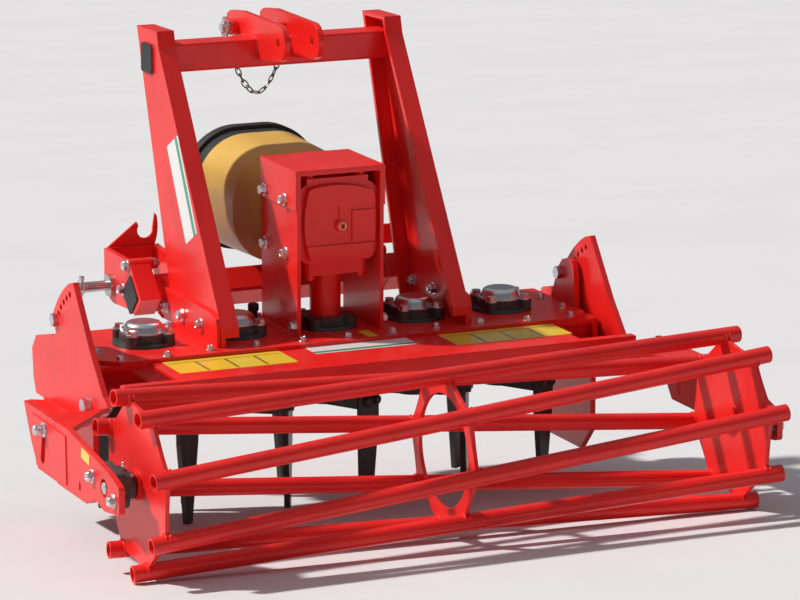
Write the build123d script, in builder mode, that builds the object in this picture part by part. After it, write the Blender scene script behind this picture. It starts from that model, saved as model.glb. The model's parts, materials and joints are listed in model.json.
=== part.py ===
from build123d import *
from math import asin, atan2, cos, degrees, hypot, radians, sin, tan
import os

# Compact power harrow with five rotors, a three-point mast and a cage roller.
# It is drawn in its own frame: +X right, +Y forward to the tractor, +Z square to the cover,
# Y = 0 on the row of rotors and Z = 0 level with the roller's underside.
# The last section stands the whole machine on its tines and roller, as it is parked.

# Rotor row
rotor_count = 5
rotor_pitch = 200.0
rotor_phase = -58.0
hub_diameter = 84.0
shaft_diameter = 50.0
shaft_grip = 18.0
carrier_thickness = 28.0
carrier_width = 66.0
tine_radius = 108.0
tine_width = 60.0
tine_tip_width = 17.0
tine_thickness = 12.0
tine_length = 232.0
tine_shoulder = 62.0
running_gap = 0.3

# Trough and cover
cover_top = 310.0
cover_thickness = 8.0
cover_corner = 44.0
trough_length = 1096.0
trough_half_width = 125.0
trough_depth = 90.0
trough_corner = 34.0
trough_flange_half = 143.0
trough_flange = 8.0
seat_diameter = 150.0
seat_thickness = 26.0

# Beam behind the trough
ledge_depth = 168.0
ledge_thickness = 6.0
ledge_height = 60.0
ledge_lip = 22.0
pocket_length = 106.0
pocket_depth = 40.0
pocket_rim = 22.0

# Bearing housings and caps on the cover
bearing_skirt = 130.0
skirt_height = 7.0
bearing_body = 100.0
bearing_height = 24.0
bearing_ear = 28.0
bearing_bolt_circle = 108.0
cap_width = 84.0
cap_height = 21.0
cap_draft = 6.0
cap_round = 12.0
cap_sheet = 3.0
bearing_bolt = 18.0
bearing_bolt_head = 8.0

# End plates of the trough
end_plate = 12.0

# Roller arms
quadrant_gap = 8.0
quadrant_thickness = 12.0
arm_gap = 26.0
arm_plate = 12.0
arm_doubler = 2.0
arm_top = 252.0
arm_ledge = 10.0
quadrant_floor = 190.0
pivot_y = -166.0
pivot_z = 233.0
pivot_bolt = 20.0
pivot_washer = 36.0
pivot_key = 30.0
pivot_head = 12.0
washer_thickness = 3.0
lock_radius = 229.0
lock_first_angle = 36.8
lock_step = 5.3
lock_land = 22.0
lock_hole_count = 6
lock_hole = 13.0
lock_key = 24.0
lock_nut = 11.0
slot_top = (-263.0, 220.0)
slot_bottom = (-252.0, 161.0)
slot_width = 22.0
lifting_hole = (-456.0, 155.0)
lifting_hole_width = 9.0
lifting_hole_height = 18.0

# Cage roller
roller_y = -587.0
roller_z = 184.0
roller_tube_circle = 334.5
roller_tube = 33.7
roller_tube_wall = 3.2
roller_tube_count = 8
roller_twist = 45.0
roller_length = 1338.0
roller_phase = -16.0
disc_inset = 32.0
disc_thickness = 8.0
disc_hollow = 4.0
ring_width = 24.0
ring_thickness = 8.0
axle_diameter = 30.0
axle_hub = 60.0
axle_stand = 5.0
hub_inside = 10.0
hub_outside = 12.0
arm_axle_hole = 36.0
roller_bearing_width = 30.0
roller_bearing_flange = 12.0
roller_bearing_height = 84.0
roller_bearing_side = 74.0
roller_bearing_bolts = 117.0
roller_bearing_tilt = 10.0

# Mast, between the second rotors from the middle and the outer ones
mast_gap = 10.0
mast_outer_x = rotor_pitch + bearing_skirt / 2 + mast_gap
mast_sheet = 8.0
mast_foot_flange = 38.0
crossbar_y = 285.0
crossbar_z = 841.0
crossbar_width = 60.0
crossbar_height = 60.0
crossbar_wall = 5.0
plug_thickness = 5.0
foot_plate = 8.0
foot_plate_top = 376.0

# Top link bracket
link_plate_x = 38.0
link_plate = 12.0
link_rise = 9.0
link_front_reach = 83.0
link_rear_reach = 142.0
link_end_radius = 38.0
link_web = 8.0
link_web_height = 24.0
link_boss = 34.0
link_boss_length = 16.0
link_pin = 19.0
link_pin_stand = 20.0
link_pin_head = 6.0
link_pin_clearance = 0.3

# Front beam and lower hitch
beam_side = 60.0
beam_wall = 5.0
beam_end_gap = 2.0
beam_y = 215.0
beam_z = 359.0
hitch_plate = 12.0
hitch_mast_gap = 2.0
hitch_inner_x = mast_outer_x - mast_foot_flange - hitch_mast_gap - hitch_plate
hitch_front_y = 372.0
hitch_rise = 69.0
clamp_plate = 11.0
clamp_width = 45.0
clamp_gap = 17.0
hitch_outer_x = mast_outer_x + foot_plate + clamp_gap + clamp_width
beam_half_length = hitch_outer_x - beam_end_gap
clamp_short_arm = 40.0
clamp_long_arm = 62.0
lower_pin_y = 330.0
lower_pin_z = 357.0
lower_pin = 22.0
lower_pin_reach = 76.0
pin_collar = 46.0
pin_collar_width = 9.0
clamp_bolt_y = 235.0
clamp_bolt_z = 418.0
clamp_bushing = 26.0
clamp_bushing_length = 55.0
rest_plate = 6.0

# Gearbox, its bracket and the drive shaft
box_half_width = 88.0
box_rear_y = -78.0
box_front_y = 100.0
box_bottom = 457.0
box_top = 620.0
box_corner = 26.0
lid_depth = 14.0
lid_relief = 4.0
lid_corner = 9.0
plug_diameter = 26.0
plug_hole = 10.0
top_flange_width = 136.0
top_flange_top = 632.0
top_flange_height = 25.0
foot_flange_width = 140.0
foot_flange_height = 27.0
shaft_z = 530.0
neck_diameter = 64.0
bracket_plate = 8.0
bracket_rear_y = -80.0
bracket_front_y = 108.0
bracket_top = 650.0
bracket_wall_bottom = 470.0
hood_sheet = 3.0
hood_bottom = 570.0
input_housing = 110.0
input_housing_length = 30.0
pto_shaft = 34.9
pto_root = 30.0
pto_splines = 6
pto_reach = 100.0

# Guard around the drive shaft, wider than high
guard_half_width = 144.0
guard_half_height = 126.0
guard_corner = 112.0
guard_back_step = 40.0
guard_shoulder_step = 26.0
guard_bell_step = 8.0
guard_shoulder = 14.0
guard_bell = 60.0
guard_wall = 4.0
guard_front_y = 412.0
rim_width = 24.0
rim_lip = 4.0
rim_wall = 7.0

# Values worked out from the sizes above
cover_bottom = cover_top - cover_thickness
trough_top = cover_bottom - trough_flange
trough_bottom = cover_bottom - trough_depth
half_length = trough_length / 2
seat_bottom = trough_bottom - seat_thickness
hub_top = seat_bottom - running_gap
carrier_top = hub_top - 6.0
carrier_bottom = carrier_top - carrier_thickness
tine_top = carrier_top
tine_tip_z = tine_top - tine_length
first_rotor_x = -rotor_pitch * (rotor_count - 1) / 2
rotor_xs = [first_rotor_x + rotor_pitch * i for i in range(rotor_count)]
middle_rotor = rotor_count // 2
outer_rotor_xs = [x for i, x in enumerate(rotor_xs) if i != middle_rotor]
end_plate_x = half_length
quadrant_inner_x = half_length + end_plate + quadrant_gap
quadrant_outer_x = quadrant_inner_x + quadrant_thickness
lock_y = pivot_y + lock_radius * cos(radians(lock_first_angle))
lock_z = pivot_z + lock_radius * sin(radians(lock_first_angle))
tube_radius = roller_tube_circle / 2
roller_radius = tube_radius + roller_tube / 2
disc_x = roller_length / 2 - disc_inset
arm_inner_x = roller_length / 2 + arm_gap
arm_outer_x = arm_inner_x + arm_plate
beam_half_diagonal = beam_side / 2 ** 0.5
hitch_top = beam_z + hitch_rise
link_hole_z = crossbar_z + crossbar_height / 2 + link_rise
link_front_y = crossbar_y + link_front_reach
link_rear_y = crossbar_y - link_rear_reach


def rotor_angle(index):
    """Neighbouring rotors stand a quarter turn apart at the place where their circles meet."""
    return rotor_phase if index % 2 == 0 else -90.0 - rotor_phase


# Parking attitude: the ground line touches the rear tine tips and is tangent to the roller
tip_radius = tine_radius + tine_thickness / 2
tip_y = tip_radius * sin(radians(rotor_phase)) - tine_tip_width / 2 * cos(radians(rotor_phase))
tip_to_axle = hypot(roller_y - tip_y, roller_z - tine_tip_z)
park_pitch = degrees(atan2(roller_z - tine_tip_z, tip_y - roller_y) - asin(roller_radius / tip_to_axle))

finished = []


def keep(part, name):
    """Puts a finished piece on the list under its own name."""
    part.label = name
    finished.append(part)


# Trough that carries the rotor bearings, a closed pressed housing
with BuildPart() as trough:
    with BuildSketch(Plane.YZ):
        with Locations((0, (trough_top + trough_bottom) / 2)):
            Rectangle(2 * trough_half_width, trough_top - trough_bottom)
        fillet(vertices().group_by(Axis.Y)[0], trough_corner)
        with Locations((0, trough_top + trough_flange / 2)):
            Rectangle(2 * trough_flange_half, trough_flange)
    extrude(amount=half_length, both=True)
keep(trough.part, "trough")

# Cover plate with its rear corners cut off
with BuildPart() as cover_plate:
    with BuildSketch(Plane.XY.offset(cover_bottom)) as cover_outline:
        Rectangle(trough_length, 2 * trough_flange_half)
        chamfer(vertices().group_by(Axis.Y)[0], cover_corner)
    extrude(amount=cover_thickness)
keep(cover_plate.part, "cover_plate")

# Pressed beam behind the trough, with a lower pocket at each end
ledge_rear = -trough_flange_half - ledge_depth
with BuildPart() as rear_beam:
    with BuildSketch(Plane.YZ):
        with BuildLine():
            Polyline(
                (-trough_flange_half, cover_bottom),
                (ledge_rear, cover_bottom),
                (ledge_rear, cover_bottom - ledge_height),
                (ledge_rear + ledge_lip, cover_bottom - ledge_height),
                (ledge_rear + ledge_lip, cover_bottom - ledge_height + ledge_thickness),
                (ledge_rear + ledge_thickness, cover_bottom - ledge_height + ledge_thickness),
                (ledge_rear + ledge_thickness, cover_bottom - ledge_thickness),
                (-trough_flange_half, cover_bottom - ledge_thickness),
                close=True,
            )
        make_face()
    extrude(amount=half_length + end_plate, both=True)
    with BuildSketch(Plane.XY.offset(cover_bottom)):
        for side in (-1, 1):
            with Locations((side * (half_length + end_plate / 2 - pocket_length / 2),
                            (-trough_flange_half + ledge_rear + pocket_rim) / 2)):
                Rectangle(pocket_length + end_plate, ledge_depth - pocket_rim)
    extrude(amount=-ledge_thickness, mode=Mode.SUBTRACT)
    with BuildSketch(Plane.XY.offset(cover_bottom - pocket_depth)):
        for side in (-1, 1):
            with Locations((side * (half_length - pocket_length / 2),
                            (-trough_half_width + ledge_rear + ledge_thickness) / 2)):
                Rectangle(pocket_length, -trough_half_width - ledge_rear - ledge_thickness)
    extrude(amount=-ledge_thickness)
keep(rear_beam.part, "rear_beam")

# Cast bearing housings: a skirt, a round body and four bolted pillars, the middle one under the gearbox
with BuildPart() as bearing_housings:
    with BuildSketch(Plane.XY.offset(cover_top)):
        with Locations([(x, 0) for x in rotor_xs]):
            Circle(bearing_skirt / 2)
    extrude(amount=skirt_height, taper=20)
    with BuildSketch(Plane.XY.offset(cover_top)):
        with Locations([(x, 0) for x in rotor_xs]):
            Circle(bearing_body / 2)
            with PolarLocations(bearing_bolt_circle / 2, 4, start_angle=45):
                Circle(bearing_ear / 2)
    extrude(amount=bearing_height)
keep(bearing_housings.part, "bearing_housings")

# Zinc-plated pressed caps over the bearings, domed, with the heads of their bolts
cap_base = cover_top + bearing_height
dome_rise = cap_height - cap_sheet
with BuildPart() as bearing_caps:
    with BuildSketch(Plane.XY.offset(cap_base)):
        with Locations([(x, 0) for x in outer_rotor_xs]):
            Circle(bearing_body / 2 - 3)
            with PolarLocations(bearing_bolt_circle / 2, 4, start_angle=45):
                Circle(bearing_ear / 2 - 1)
    extrude(amount=cap_sheet)
    for x in outer_rotor_xs:
        with BuildSketch(Plane(origin=(x, 0, cap_base + cap_sheet), x_dir=(1, 0, 0), z_dir=(0, -1, 0))):
            with BuildLine():
                Polyline((0, 0), (cap_width / 2, 0), (cap_width / 2 - cap_draft, dome_rise),
                         (0, dome_rise), close=True)
            make_face()
            fillet(vertices().group_by(Axis.Y)[-1].sort_by(Axis.X)[-1], cap_round)
        revolve(axis=Axis((x, 0, 0), (0, 0, 1)))
    with BuildSketch(Plane.XY.offset(cap_base + cap_sheet)):
        with Locations([(x, 0) for x in outer_rotor_xs]):
            with PolarLocations(bearing_bolt_circle / 2, 4, start_angle=45):
                RegularPolygon(bearing_bolt / 2, 6, major_radius=False)
    extrude(amount=bearing_bolt_head)
keep(bearing_caps.part, "bearing_caps")

# Seats of the lower bearings under the trough
with BuildPart() as lower_seats:
    with BuildSketch(Plane.XY.offset(seat_bottom)):
        with Locations([(x, 0) for x in rotor_xs]):
            Circle(seat_diameter / 2)
            Circle(shaft_diameter / 2 + running_gap, mode=Mode.SUBTRACT)
    extrude(amount=seat_thickness)
keep(lower_seats.part, "lower_seats")


def make_carrier(x, angle):
    """One rotor: a shaft end, a hub and a two-armed carrier with a seat for a tine on each arm."""
    arm = tine_radius - tine_thickness / 2
    with BuildPart() as carrier:
        with BuildSketch(Plane.XY.offset(carrier_bottom)):
            Rectangle(2 * arm, carrier_width)
            Circle(hub_diameter / 2)
        extrude(amount=carrier_thickness)
        with BuildSketch(Plane.XY.offset(carrier_top)):
            Circle(hub_diameter / 2)
        extrude(amount=hub_top - carrier_top)
        with BuildSketch(Plane.XY.offset(hub_top)):
            Circle(shaft_diameter / 2)
        extrude(amount=shaft_grip + running_gap)
    return Pos(x, 0, 0) * Rot(0, 0, angle) * carrier.part


def make_tines(x, angle):
    """Two flat knives set across the ends of the arms, tapering to a narrow tip."""
    half = tine_width / 2
    tip = tine_tip_width / 2
    shoulder = tine_top - tine_shoulder
    with BuildPart() as tines:
        for side in (-1, 1):
            base = Plane(origin=(side * (tine_radius - tine_thickness / 2), 0, 0),
                         x_dir=(0, side, 0), z_dir=(side, 0, 0))
            with BuildSketch(base):
                with BuildLine():
                    Polyline((-half, tine_top), (half, tine_top), (half, shoulder),
                             (tip, tine_tip_z), (-tip, tine_tip_z), (-half, shoulder), close=True)
                make_face()
            extrude(amount=tine_thickness)
    return Pos(x, 0, 0) * Rot(0, 0, angle) * tines.part


for index, x in enumerate(rotor_xs):
    keep(make_carrier(x, rotor_angle(index)), "rotor_carrier_" + str(index + 1))
    keep(make_tines(x, rotor_angle(index)), "rotor_tines_" + str(index + 1))


def mirrored(part):
    """The same piece on the other side of the machine."""
    return part.mirror(Plane.YZ)


# End plate of the trough, with the lug that the roller arm is bolted to and a soil guard below
end_plate_outline = [
    (-176, 262), (-184, 254), (-184, 204), (-170, 190), (-133, 190), (-133, 62), (-88, 12), (81, 12),
    (136, 66), (136, 262), (131, 295), (62, 302), (lock_y + 10, lock_z + 10), (lock_y - 9, lock_z + 30),
    (lock_y - 35, lock_z + 38), (lock_y - 53, lock_z + 35), (lock_y - 63, lock_z + 20), (-56, 302),
    (-133, 302), (-143, 262),
]
with BuildPart() as end_plate_right:
    with BuildSketch(Plane.YZ.offset(end_plate_x)):
        with BuildLine():
            Polyline(*end_plate_outline, close=True)
        make_face()
        with Locations((lock_y, lock_z)):
            Circle(lock_hole / 2, mode=Mode.SUBTRACT)
        with Locations((pivot_y, pivot_z)):
            Circle(pivot_bolt / 2, mode=Mode.SUBTRACT)
    extrude(amount=end_plate)
keep(end_plate_right.part, "end_plate_right")
keep(mirrored(end_plate_right.part), "end_plate_left")


def about_pivot(radius, angle):
    """Point of the quadrant at this radius and angle from the pivot of the roller arm."""
    return (pivot_y + radius * cos(radians(angle)), pivot_z + radius * sin(radians(angle)))


# Folded plate under the quadrant that carries the outer plate of the arm
with BuildPart() as ledge_plate:
    with BuildSketch(Plane.YZ.offset(quadrant_inner_x)):
        with BuildLine():
            Polyline((100, quadrant_floor), (-124, quadrant_floor), (-266, arm_top), (-392, arm_top),
                     (-392, arm_top - arm_ledge), (-264, arm_top - arm_ledge),
                     (-122, quadrant_floor - arm_ledge), (100, quadrant_floor - arm_ledge), close=True)
        make_face()
    extrude(amount=arm_inner_x - quadrant_inner_x)
    with BuildSketch(Plane.XY.offset(arm_top)):
        with BuildLine():
            Polyline((quadrant_inner_x, 75), (quadrant_inner_x + 44, 100), (arm_inner_x, -175),
                     (arm_inner_x, -385), (quadrant_outer_x, -262), (quadrant_inner_x, -250), close=True)
        make_face()
    extrude(amount=quadrant_floor - arm_ledge - arm_top, mode=Mode.INTERSECT)

# Roller arm: a quadrant with its row of holes, the folded plate and the outer plate, welded together
quadrant_edge = lock_radius + lock_land
with BuildPart() as roller_arm_right:
    with BuildSketch(Plane.YZ.offset(quadrant_inner_x)):
        with BuildLine():
            ThreePointArc(about_pivot(quadrant_edge, 34), about_pivot(quadrant_edge, 50),
                          about_pivot(quadrant_edge, 65))
            Polyline(about_pivot(quadrant_edge, 65), about_pivot(quadrant_edge - 3, 70), (-171, 349),
                     (-246, 269), (-270, arm_top + 2), (-266, arm_top), (-124, quadrant_floor),
                     (146, quadrant_floor), (161, 222), (167, 281), (141, 312), (99, 322),
                     about_pivot(lock_radius - 13, 30), about_pivot(quadrant_edge, 34))
        make_face()
        with Locations(Location((pivot_y, pivot_z))):
            Circle(pivot_bolt / 2 + running_gap, mode=Mode.SUBTRACT)
        with Locations([about_pivot(lock_radius, lock_first_angle + lock_step * hole)
                        for hole in range(lock_hole_count)]):
            Circle(lock_hole / 2, mode=Mode.SUBTRACT)
    extrude(amount=quadrant_thickness)
    add(ledge_plate.part)
    with BuildSketch(Plane.YZ.offset(arm_inner_x)):
        with BuildLine():
            Polyline((-140, arm_top), (-181, 180), (-218, 133), (-475, 131), (roller_y + 75, roller_z - 48),
                     (roller_y + 55, roller_z - 34), (roller_y + 31, roller_z - 36),
                     (roller_y, roller_z - 45), (roller_y - 80, roller_z - 34),
                     (roller_y - 80, roller_z + 20),
                     (roller_y - 18, roller_z + 37), (-390, arm_top), close=True)
        make_face()
        fillet(vertices().sort_by(Axis.X)[:2], 10)
    extrude(amount=arm_plate)
    with BuildSketch(Plane.YZ.offset(arm_outer_x)):
        with BuildLine():
            Polyline((-190, 239), (-214, 140), (-385, 140), (-381, 236), close=True)
        make_face()
    extrude(amount=arm_doubler)
    with BuildSketch(Plane.YZ.offset(arm_inner_x)):
        with Locations(((slot_top[0] + slot_bottom[0]) / 2, (slot_top[1] + slot_bottom[1]) / 2)):
            SlotCenterToCenter(hypot(slot_top[0] - slot_bottom[0], slot_top[1] - slot_bottom[1]), slot_width,
                               rotation=degrees(atan2(slot_top[1] - slot_bottom[1],
                                                      slot_top[0] - slot_bottom[0])))
        with Locations(lifting_hole):
            SlotOverall(lifting_hole_height, lifting_hole_width, rotation=90)
        with Locations((roller_y, roller_z)):
            Circle(arm_axle_hole / 2)
    extrude(amount=arm_plate + arm_doubler, mode=Mode.SUBTRACT)
keep(roller_arm_right.part, "roller_arm_right")
keep(mirrored(roller_arm_right.part), "roller_arm_left")

# Pivot bolts of the arms, with a spacer between the end plate and the quadrant
with BuildPart() as pivot_bolt_right:
    with BuildSketch(Plane.YZ.offset(end_plate_x - pivot_head)):
        with Locations((pivot_y, pivot_z)):
            RegularPolygon(pivot_key / 2, 6, major_radius=False)
    extrude(amount=pivot_head)
    with BuildSketch(Plane.YZ.offset(end_plate_x)):
        with Locations((pivot_y, pivot_z)):
            Circle(pivot_bolt / 2)
    extrude(amount=quadrant_outer_x + running_gap - end_plate_x)
    with BuildSketch(Plane.YZ.offset(end_plate_x + end_plate)):
        with Locations((pivot_y, pivot_z)):
            Circle(pivot_washer / 2)
    extrude(amount=quadrant_inner_x - running_gap - end_plate_x - end_plate)
    with BuildSketch(Plane.YZ.offset(quadrant_outer_x + running_gap)):
        with Locations((pivot_y, pivot_z)):
            Circle(pivot_washer / 2)
    extrude(amount=washer_thickness)
    with BuildSketch(Plane.YZ.offset(quadrant_outer_x + running_gap + washer_thickness)):
        with Locations((pivot_y, pivot_z)):
            RegularPolygon(pivot_key / 2, 6, major_radius=False)
    extrude(amount=pivot_head)
keep(pivot_bolt_right.part, "pivot_bolt_right")
keep(mirrored(pivot_bolt_right.part), "pivot_bolt_left")

# Locking bolts: the nut stays on the lug, the bolt rides in the quadrant's lowest hole
with BuildPart() as lock_nuts:
    for side in (-1, 1):
        with BuildSketch(Plane.YZ.offset(side * (end_plate_x - lock_nut))):
            with Locations((lock_y, lock_z)):
                RegularPolygon(lock_key / 2, 6, major_radius=False)
        extrude(amount=side * lock_nut)
        with BuildSketch(Plane.YZ.offset(side * end_plate_x)):
            with Locations((lock_y, lock_z)):
                Circle(lock_hole / 2)
        extrude(amount=side * end_plate)
keep(lock_nuts.part, "lock_nuts")

with BuildPart() as lock_bolts:
    for side in (-1, 1):
        with BuildSketch(Plane.YZ.offset(side * quadrant_inner_x)):
            with Locations((lock_y, lock_z)):
                Circle(lock_hole / 2)
        extrude(amount=side * quadrant_thickness)
        with BuildSketch(Plane.YZ.offset(side * quadrant_outer_x)):
            with Locations((lock_y, lock_z)):
                RegularPolygon(lock_key / 2, 6, major_radius=False)
        extrude(amount=side * lock_nut)
keep(lock_bolts.part, "lock_bolts")

# Flange bearings on the inner side of the arms, with a squared body
with BuildPart() as roller_bearing_right:
    flat = Plane.YZ.offset(arm_inner_x - roller_bearing_width)
    with BuildSketch(flat.offset(roller_bearing_width - roller_bearing_flange)):
        with Locations(Location((roller_y, roller_z), roller_bearing_tilt)):
            RectangleRounded(roller_bearing_side, roller_bearing_height, 10)
            SlotCenterToCenter(roller_bearing_bolts, 32)
            Circle(axle_diameter / 2 + running_gap, mode=Mode.SUBTRACT)
    extrude(amount=roller_bearing_flange)
    with BuildSketch(flat):
        with Locations(Location((roller_y, roller_z), roller_bearing_tilt)):
            RectangleRounded(roller_bearing_side - 10, roller_bearing_height - 12, 18)
            Circle(axle_diameter / 2 + running_gap, mode=Mode.SUBTRACT)
    extrude(amount=roller_bearing_width - roller_bearing_flange)
keep(roller_bearing_right.part, "roller_bearing_right")
keep(mirrored(roller_bearing_right.part), "roller_bearing_left")

def tube_place(x, turn):
    """Centre of a tube where it crosses the plane at x, for a tube that starts at this turn."""
    share = x / roller_length + 0.5
    start = radians(90 + roller_phase + turn)
    end = start - radians(roller_twist)
    left = (tube_radius * cos(start), tube_radius * sin(start))
    right = (tube_radius * cos(end), tube_radius * sin(end))
    return (roller_y + left[0] + (right[0] - left[0]) * share,
            roller_z + left[1] + (right[1] - left[1]) * share)


def scalloped(x):
    """Edge of a disc at x: shallow hollows from the middle of one tube to the next."""
    middles = [tube_place(x, 360.0 / roller_tube_count * number) for number in range(roller_tube_count)]
    for start, end in zip(middles, middles[1:] + middles[:1]):
        half = ((start[0] + end[0]) / 2 - roller_y, (start[1] + end[1]) / 2 - roller_z)
        inward = 1 - disc_hollow / hypot(*half)
        ThreePointArc(start, (roller_y + half[0] * inward, roller_z + half[1] * inward), end)


# Cage roller: twisted tubes around two end discs and a middle ring, all welded
with BuildPart() as roller_cage:
    for number in range(roller_tube_count):
        turn = 360.0 / roller_tube_count * number
        left_end = Vector(-roller_length / 2, *tube_place(-roller_length / 2, turn))
        right_end = Vector(roller_length / 2, *tube_place(roller_length / 2, turn))
        across = Plane(origin=left_end, z_dir=right_end - left_end)
        with BuildSketch(across):
            Circle(roller_tube / 2)
        extrude(amount=(right_end - left_end).length)
    for side in (-1, 1):
        with BuildSketch(Plane.YZ.offset(side * disc_x - disc_thickness / 2)):
            with BuildLine():
                scalloped(side * disc_x)
            make_face()
        extrude(amount=disc_thickness)
        with BuildSketch(Plane.YZ.offset(side * (disc_x - hub_inside))):
            with Locations((roller_y, roller_z)):
                Circle(axle_hub / 2)
        extrude(amount=side * (hub_inside + hub_outside))
        with BuildSketch(Plane.YZ.offset(side * (disc_x + hub_outside))):
            with Locations((roller_y, roller_z)):
                Circle(axle_diameter / 2)
        extrude(amount=side * (arm_inner_x + axle_stand - disc_x - hub_outside))
    middle_radius = hypot(tube_place(0, 0)[0] - roller_y, tube_place(0, 0)[1] - roller_z)
    with BuildSketch(Plane.YZ.offset(-ring_thickness / 2)):
        with BuildLine():
            scalloped(0)
        make_face()
        with Locations((roller_y, roller_z)):
            Circle(middle_radius - roller_tube / 2 - ring_width, mode=Mode.SUBTRACT)
    extrude(amount=ring_thickness)
    for number in range(roller_tube_count):
        turn = 360.0 / roller_tube_count * number
        left_end = Vector(-roller_length / 2, *tube_place(-roller_length / 2, turn))
        right_end = Vector(roller_length / 2, *tube_place(roller_length / 2, turn))
        across = Plane(origin=left_end, z_dir=right_end - left_end)
        with BuildSketch(across):
            Circle(roller_tube / 2 - roller_tube_wall)
        extrude(amount=disc_inset - disc_thickness, mode=Mode.SUBTRACT)
        with BuildSketch(Plane(origin=right_end, z_dir=left_end - right_end)):
            Circle(roller_tube / 2 - roller_tube_wall)
        extrude(amount=disc_inset - disc_thickness, mode=Mode.SUBTRACT)
keep(roller_cage.part, "roller_cage")

# Mast leg: a folded channel that leans forward and narrows towards the top
mast_top = crossbar_z + crossbar_height
mast_foot_z = cover_top + 38
mast_outline = [
    (crossbar_y + 65, mast_top - 1), (crossbar_y - 49, mast_top + 2), (crossbar_y - 59, mast_top - 33),
    (-113, mast_foot_z), (-113, cover_top), (150, cover_top), (185, cover_top + 102),
]
mast_hollow = [
    (crossbar_y + 52, mast_top - 9), (crossbar_y - 42, mast_top - 6), (crossbar_y - 50, mast_top - 35),
    (-103, mast_foot_z - 18), (-113, mast_foot_z - 18), (-113, cover_top), (150, cover_top),
    (150, cover_top + 20), (176, cover_top + 102),
]
with BuildPart() as mast_leg_right:
    with BuildSketch(Plane.YZ.offset(mast_outer_x - mast_foot_flange)):
        with BuildLine():
            Polyline(*mast_outline, close=True)
        make_face()
    extrude(amount=mast_foot_flange)
    with BuildSketch(Plane.YZ.offset(mast_outer_x - mast_foot_flange)):
        with BuildLine():
            Polyline(*mast_hollow, close=True)
        make_face()
    extrude(amount=mast_foot_flange - mast_sheet, mode=Mode.SUBTRACT)
    with BuildSketch(Plane.YZ.offset(mast_outer_x - mast_foot_flange)):
        with Locations((crossbar_y, crossbar_z)):
            Rectangle(crossbar_width, crossbar_height)
    extrude(amount=mast_foot_flange, mode=Mode.SUBTRACT)
keep(mast_leg_right.part, "mast_leg_right")
keep(mirrored(mast_leg_right.part), "mast_leg_left")

# Crossbar at the top of the mast
with BuildPart() as crossbar:
    with BuildSketch(Plane.YZ):
        with Locations((crossbar_y, crossbar_z)):
            RectangleRounded(crossbar_width, crossbar_height, 6)
            Rectangle(crossbar_width - 2 * crossbar_wall, crossbar_height - 2 * crossbar_wall,
                      mode=Mode.SUBTRACT)
    extrude(amount=mast_outer_x, both=True)
keep(crossbar.part, "crossbar")

with BuildPart() as crossbar_plugs:
    for side in (-1, 1):
        with BuildSketch(Plane.YZ.offset(side * mast_outer_x)):
            with Locations((crossbar_y, crossbar_z)):
                RectangleRounded(crossbar_width, crossbar_height, 6)
        extrude(amount=side * plug_thickness)
keep(crossbar_plugs.part, "crossbar_plugs")

# Foot plates that tie the mast legs to the cover and the front beam
with BuildPart() as mast_foot_right:
    with BuildSketch(Plane.YZ.offset(mast_outer_x)):
        with BuildLine():
            Polyline((beam_y - 26, cover_top), (beam_y - 1, beam_z - beam_half_diagonal),
                     (beam_y - beam_half_diagonal, beam_z),
                     (beam_y - beam_half_diagonal + 17, foot_plate_top),
                     (-59, foot_plate_top), (-100, foot_plate_top - 8), (-107, foot_plate_top - 22),
                     (-107, cover_top), close=True)
        make_face()
    extrude(amount=foot_plate)
keep(mast_foot_right.part, "mast_foot_right")
keep(mirrored(mast_foot_right.part), "mast_foot_left")

# Top link bracket on the crossbar: two plates with round rear ends, a web and a boss for the pin
crossbar_top = crossbar_z + crossbar_height / 2
crossbar_front = crossbar_y + crossbar_width / 2
crossbar_rear = crossbar_y - crossbar_width / 2
with BuildPart() as top_link_bracket:
    for side in (-1, 1):
        with BuildSketch(Plane.YZ.offset(side * link_plate_x - link_plate / 2)):
            with BuildLine():
                Polyline((link_rear_y, link_hole_z + link_end_radius - 2),
                         (link_front_y - 26, link_hole_z + 37),
                         (link_front_y + 36, link_hole_z + 30), (link_front_y + 52, link_hole_z + 22),
                         (link_front_y + 60, link_hole_z), (link_front_y + 42, link_hole_z - 20),
                         (crossbar_front, crossbar_top - 23), (crossbar_front, crossbar_top),
                         (crossbar_rear, crossbar_top), (crossbar_rear, crossbar_top - 43),
                         (link_rear_y, link_hole_z - link_end_radius - 2), close=True)
            make_face()
            with Locations((link_rear_y, link_hole_z - 2)):
                Circle(link_end_radius)
            with Locations((link_rear_y, link_hole_z - 2), (link_front_y, link_hole_z)):
                Circle(link_pin / 2 + link_pin_clearance, mode=Mode.SUBTRACT)
        extrude(amount=link_plate)
    with BuildSketch(Plane.XY.offset(crossbar_top)):
        with Locations((0, crossbar_y)):
            Rectangle(2 * link_plate_x - link_plate, link_web)
    extrude(amount=link_web_height)
    with BuildSketch(Plane.YZ.offset(-link_plate_x - link_plate / 2)):
        with Locations((link_front_y, link_hole_z)):
            Circle(link_boss / 2)
            Circle(link_pin / 2 + link_pin_clearance, mode=Mode.SUBTRACT)
    extrude(amount=-link_boss_length)
keep(top_link_bracket.part, "top_link_bracket")

# Pin through the front holes of the top link bracket
with BuildPart() as top_link_pin:
    pin_left_end = -link_plate_x - link_plate / 2 - link_boss_length - link_pin_stand
    with BuildSketch(Plane.YZ.offset(pin_left_end)):
        with Locations((link_front_y, link_hole_z)):
            Circle(link_pin / 2)
    extrude(amount=link_plate_x + link_plate / 2 + 8 - pin_left_end)
    with BuildSketch(Plane.YZ.offset(link_plate_x + link_plate / 2 + 8)):
        with Locations((link_front_y, link_hole_z)):
            Circle(link_pin / 2 + 5)
    extrude(amount=link_pin_head)
keep(top_link_pin.part, "top_link_pin")

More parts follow.
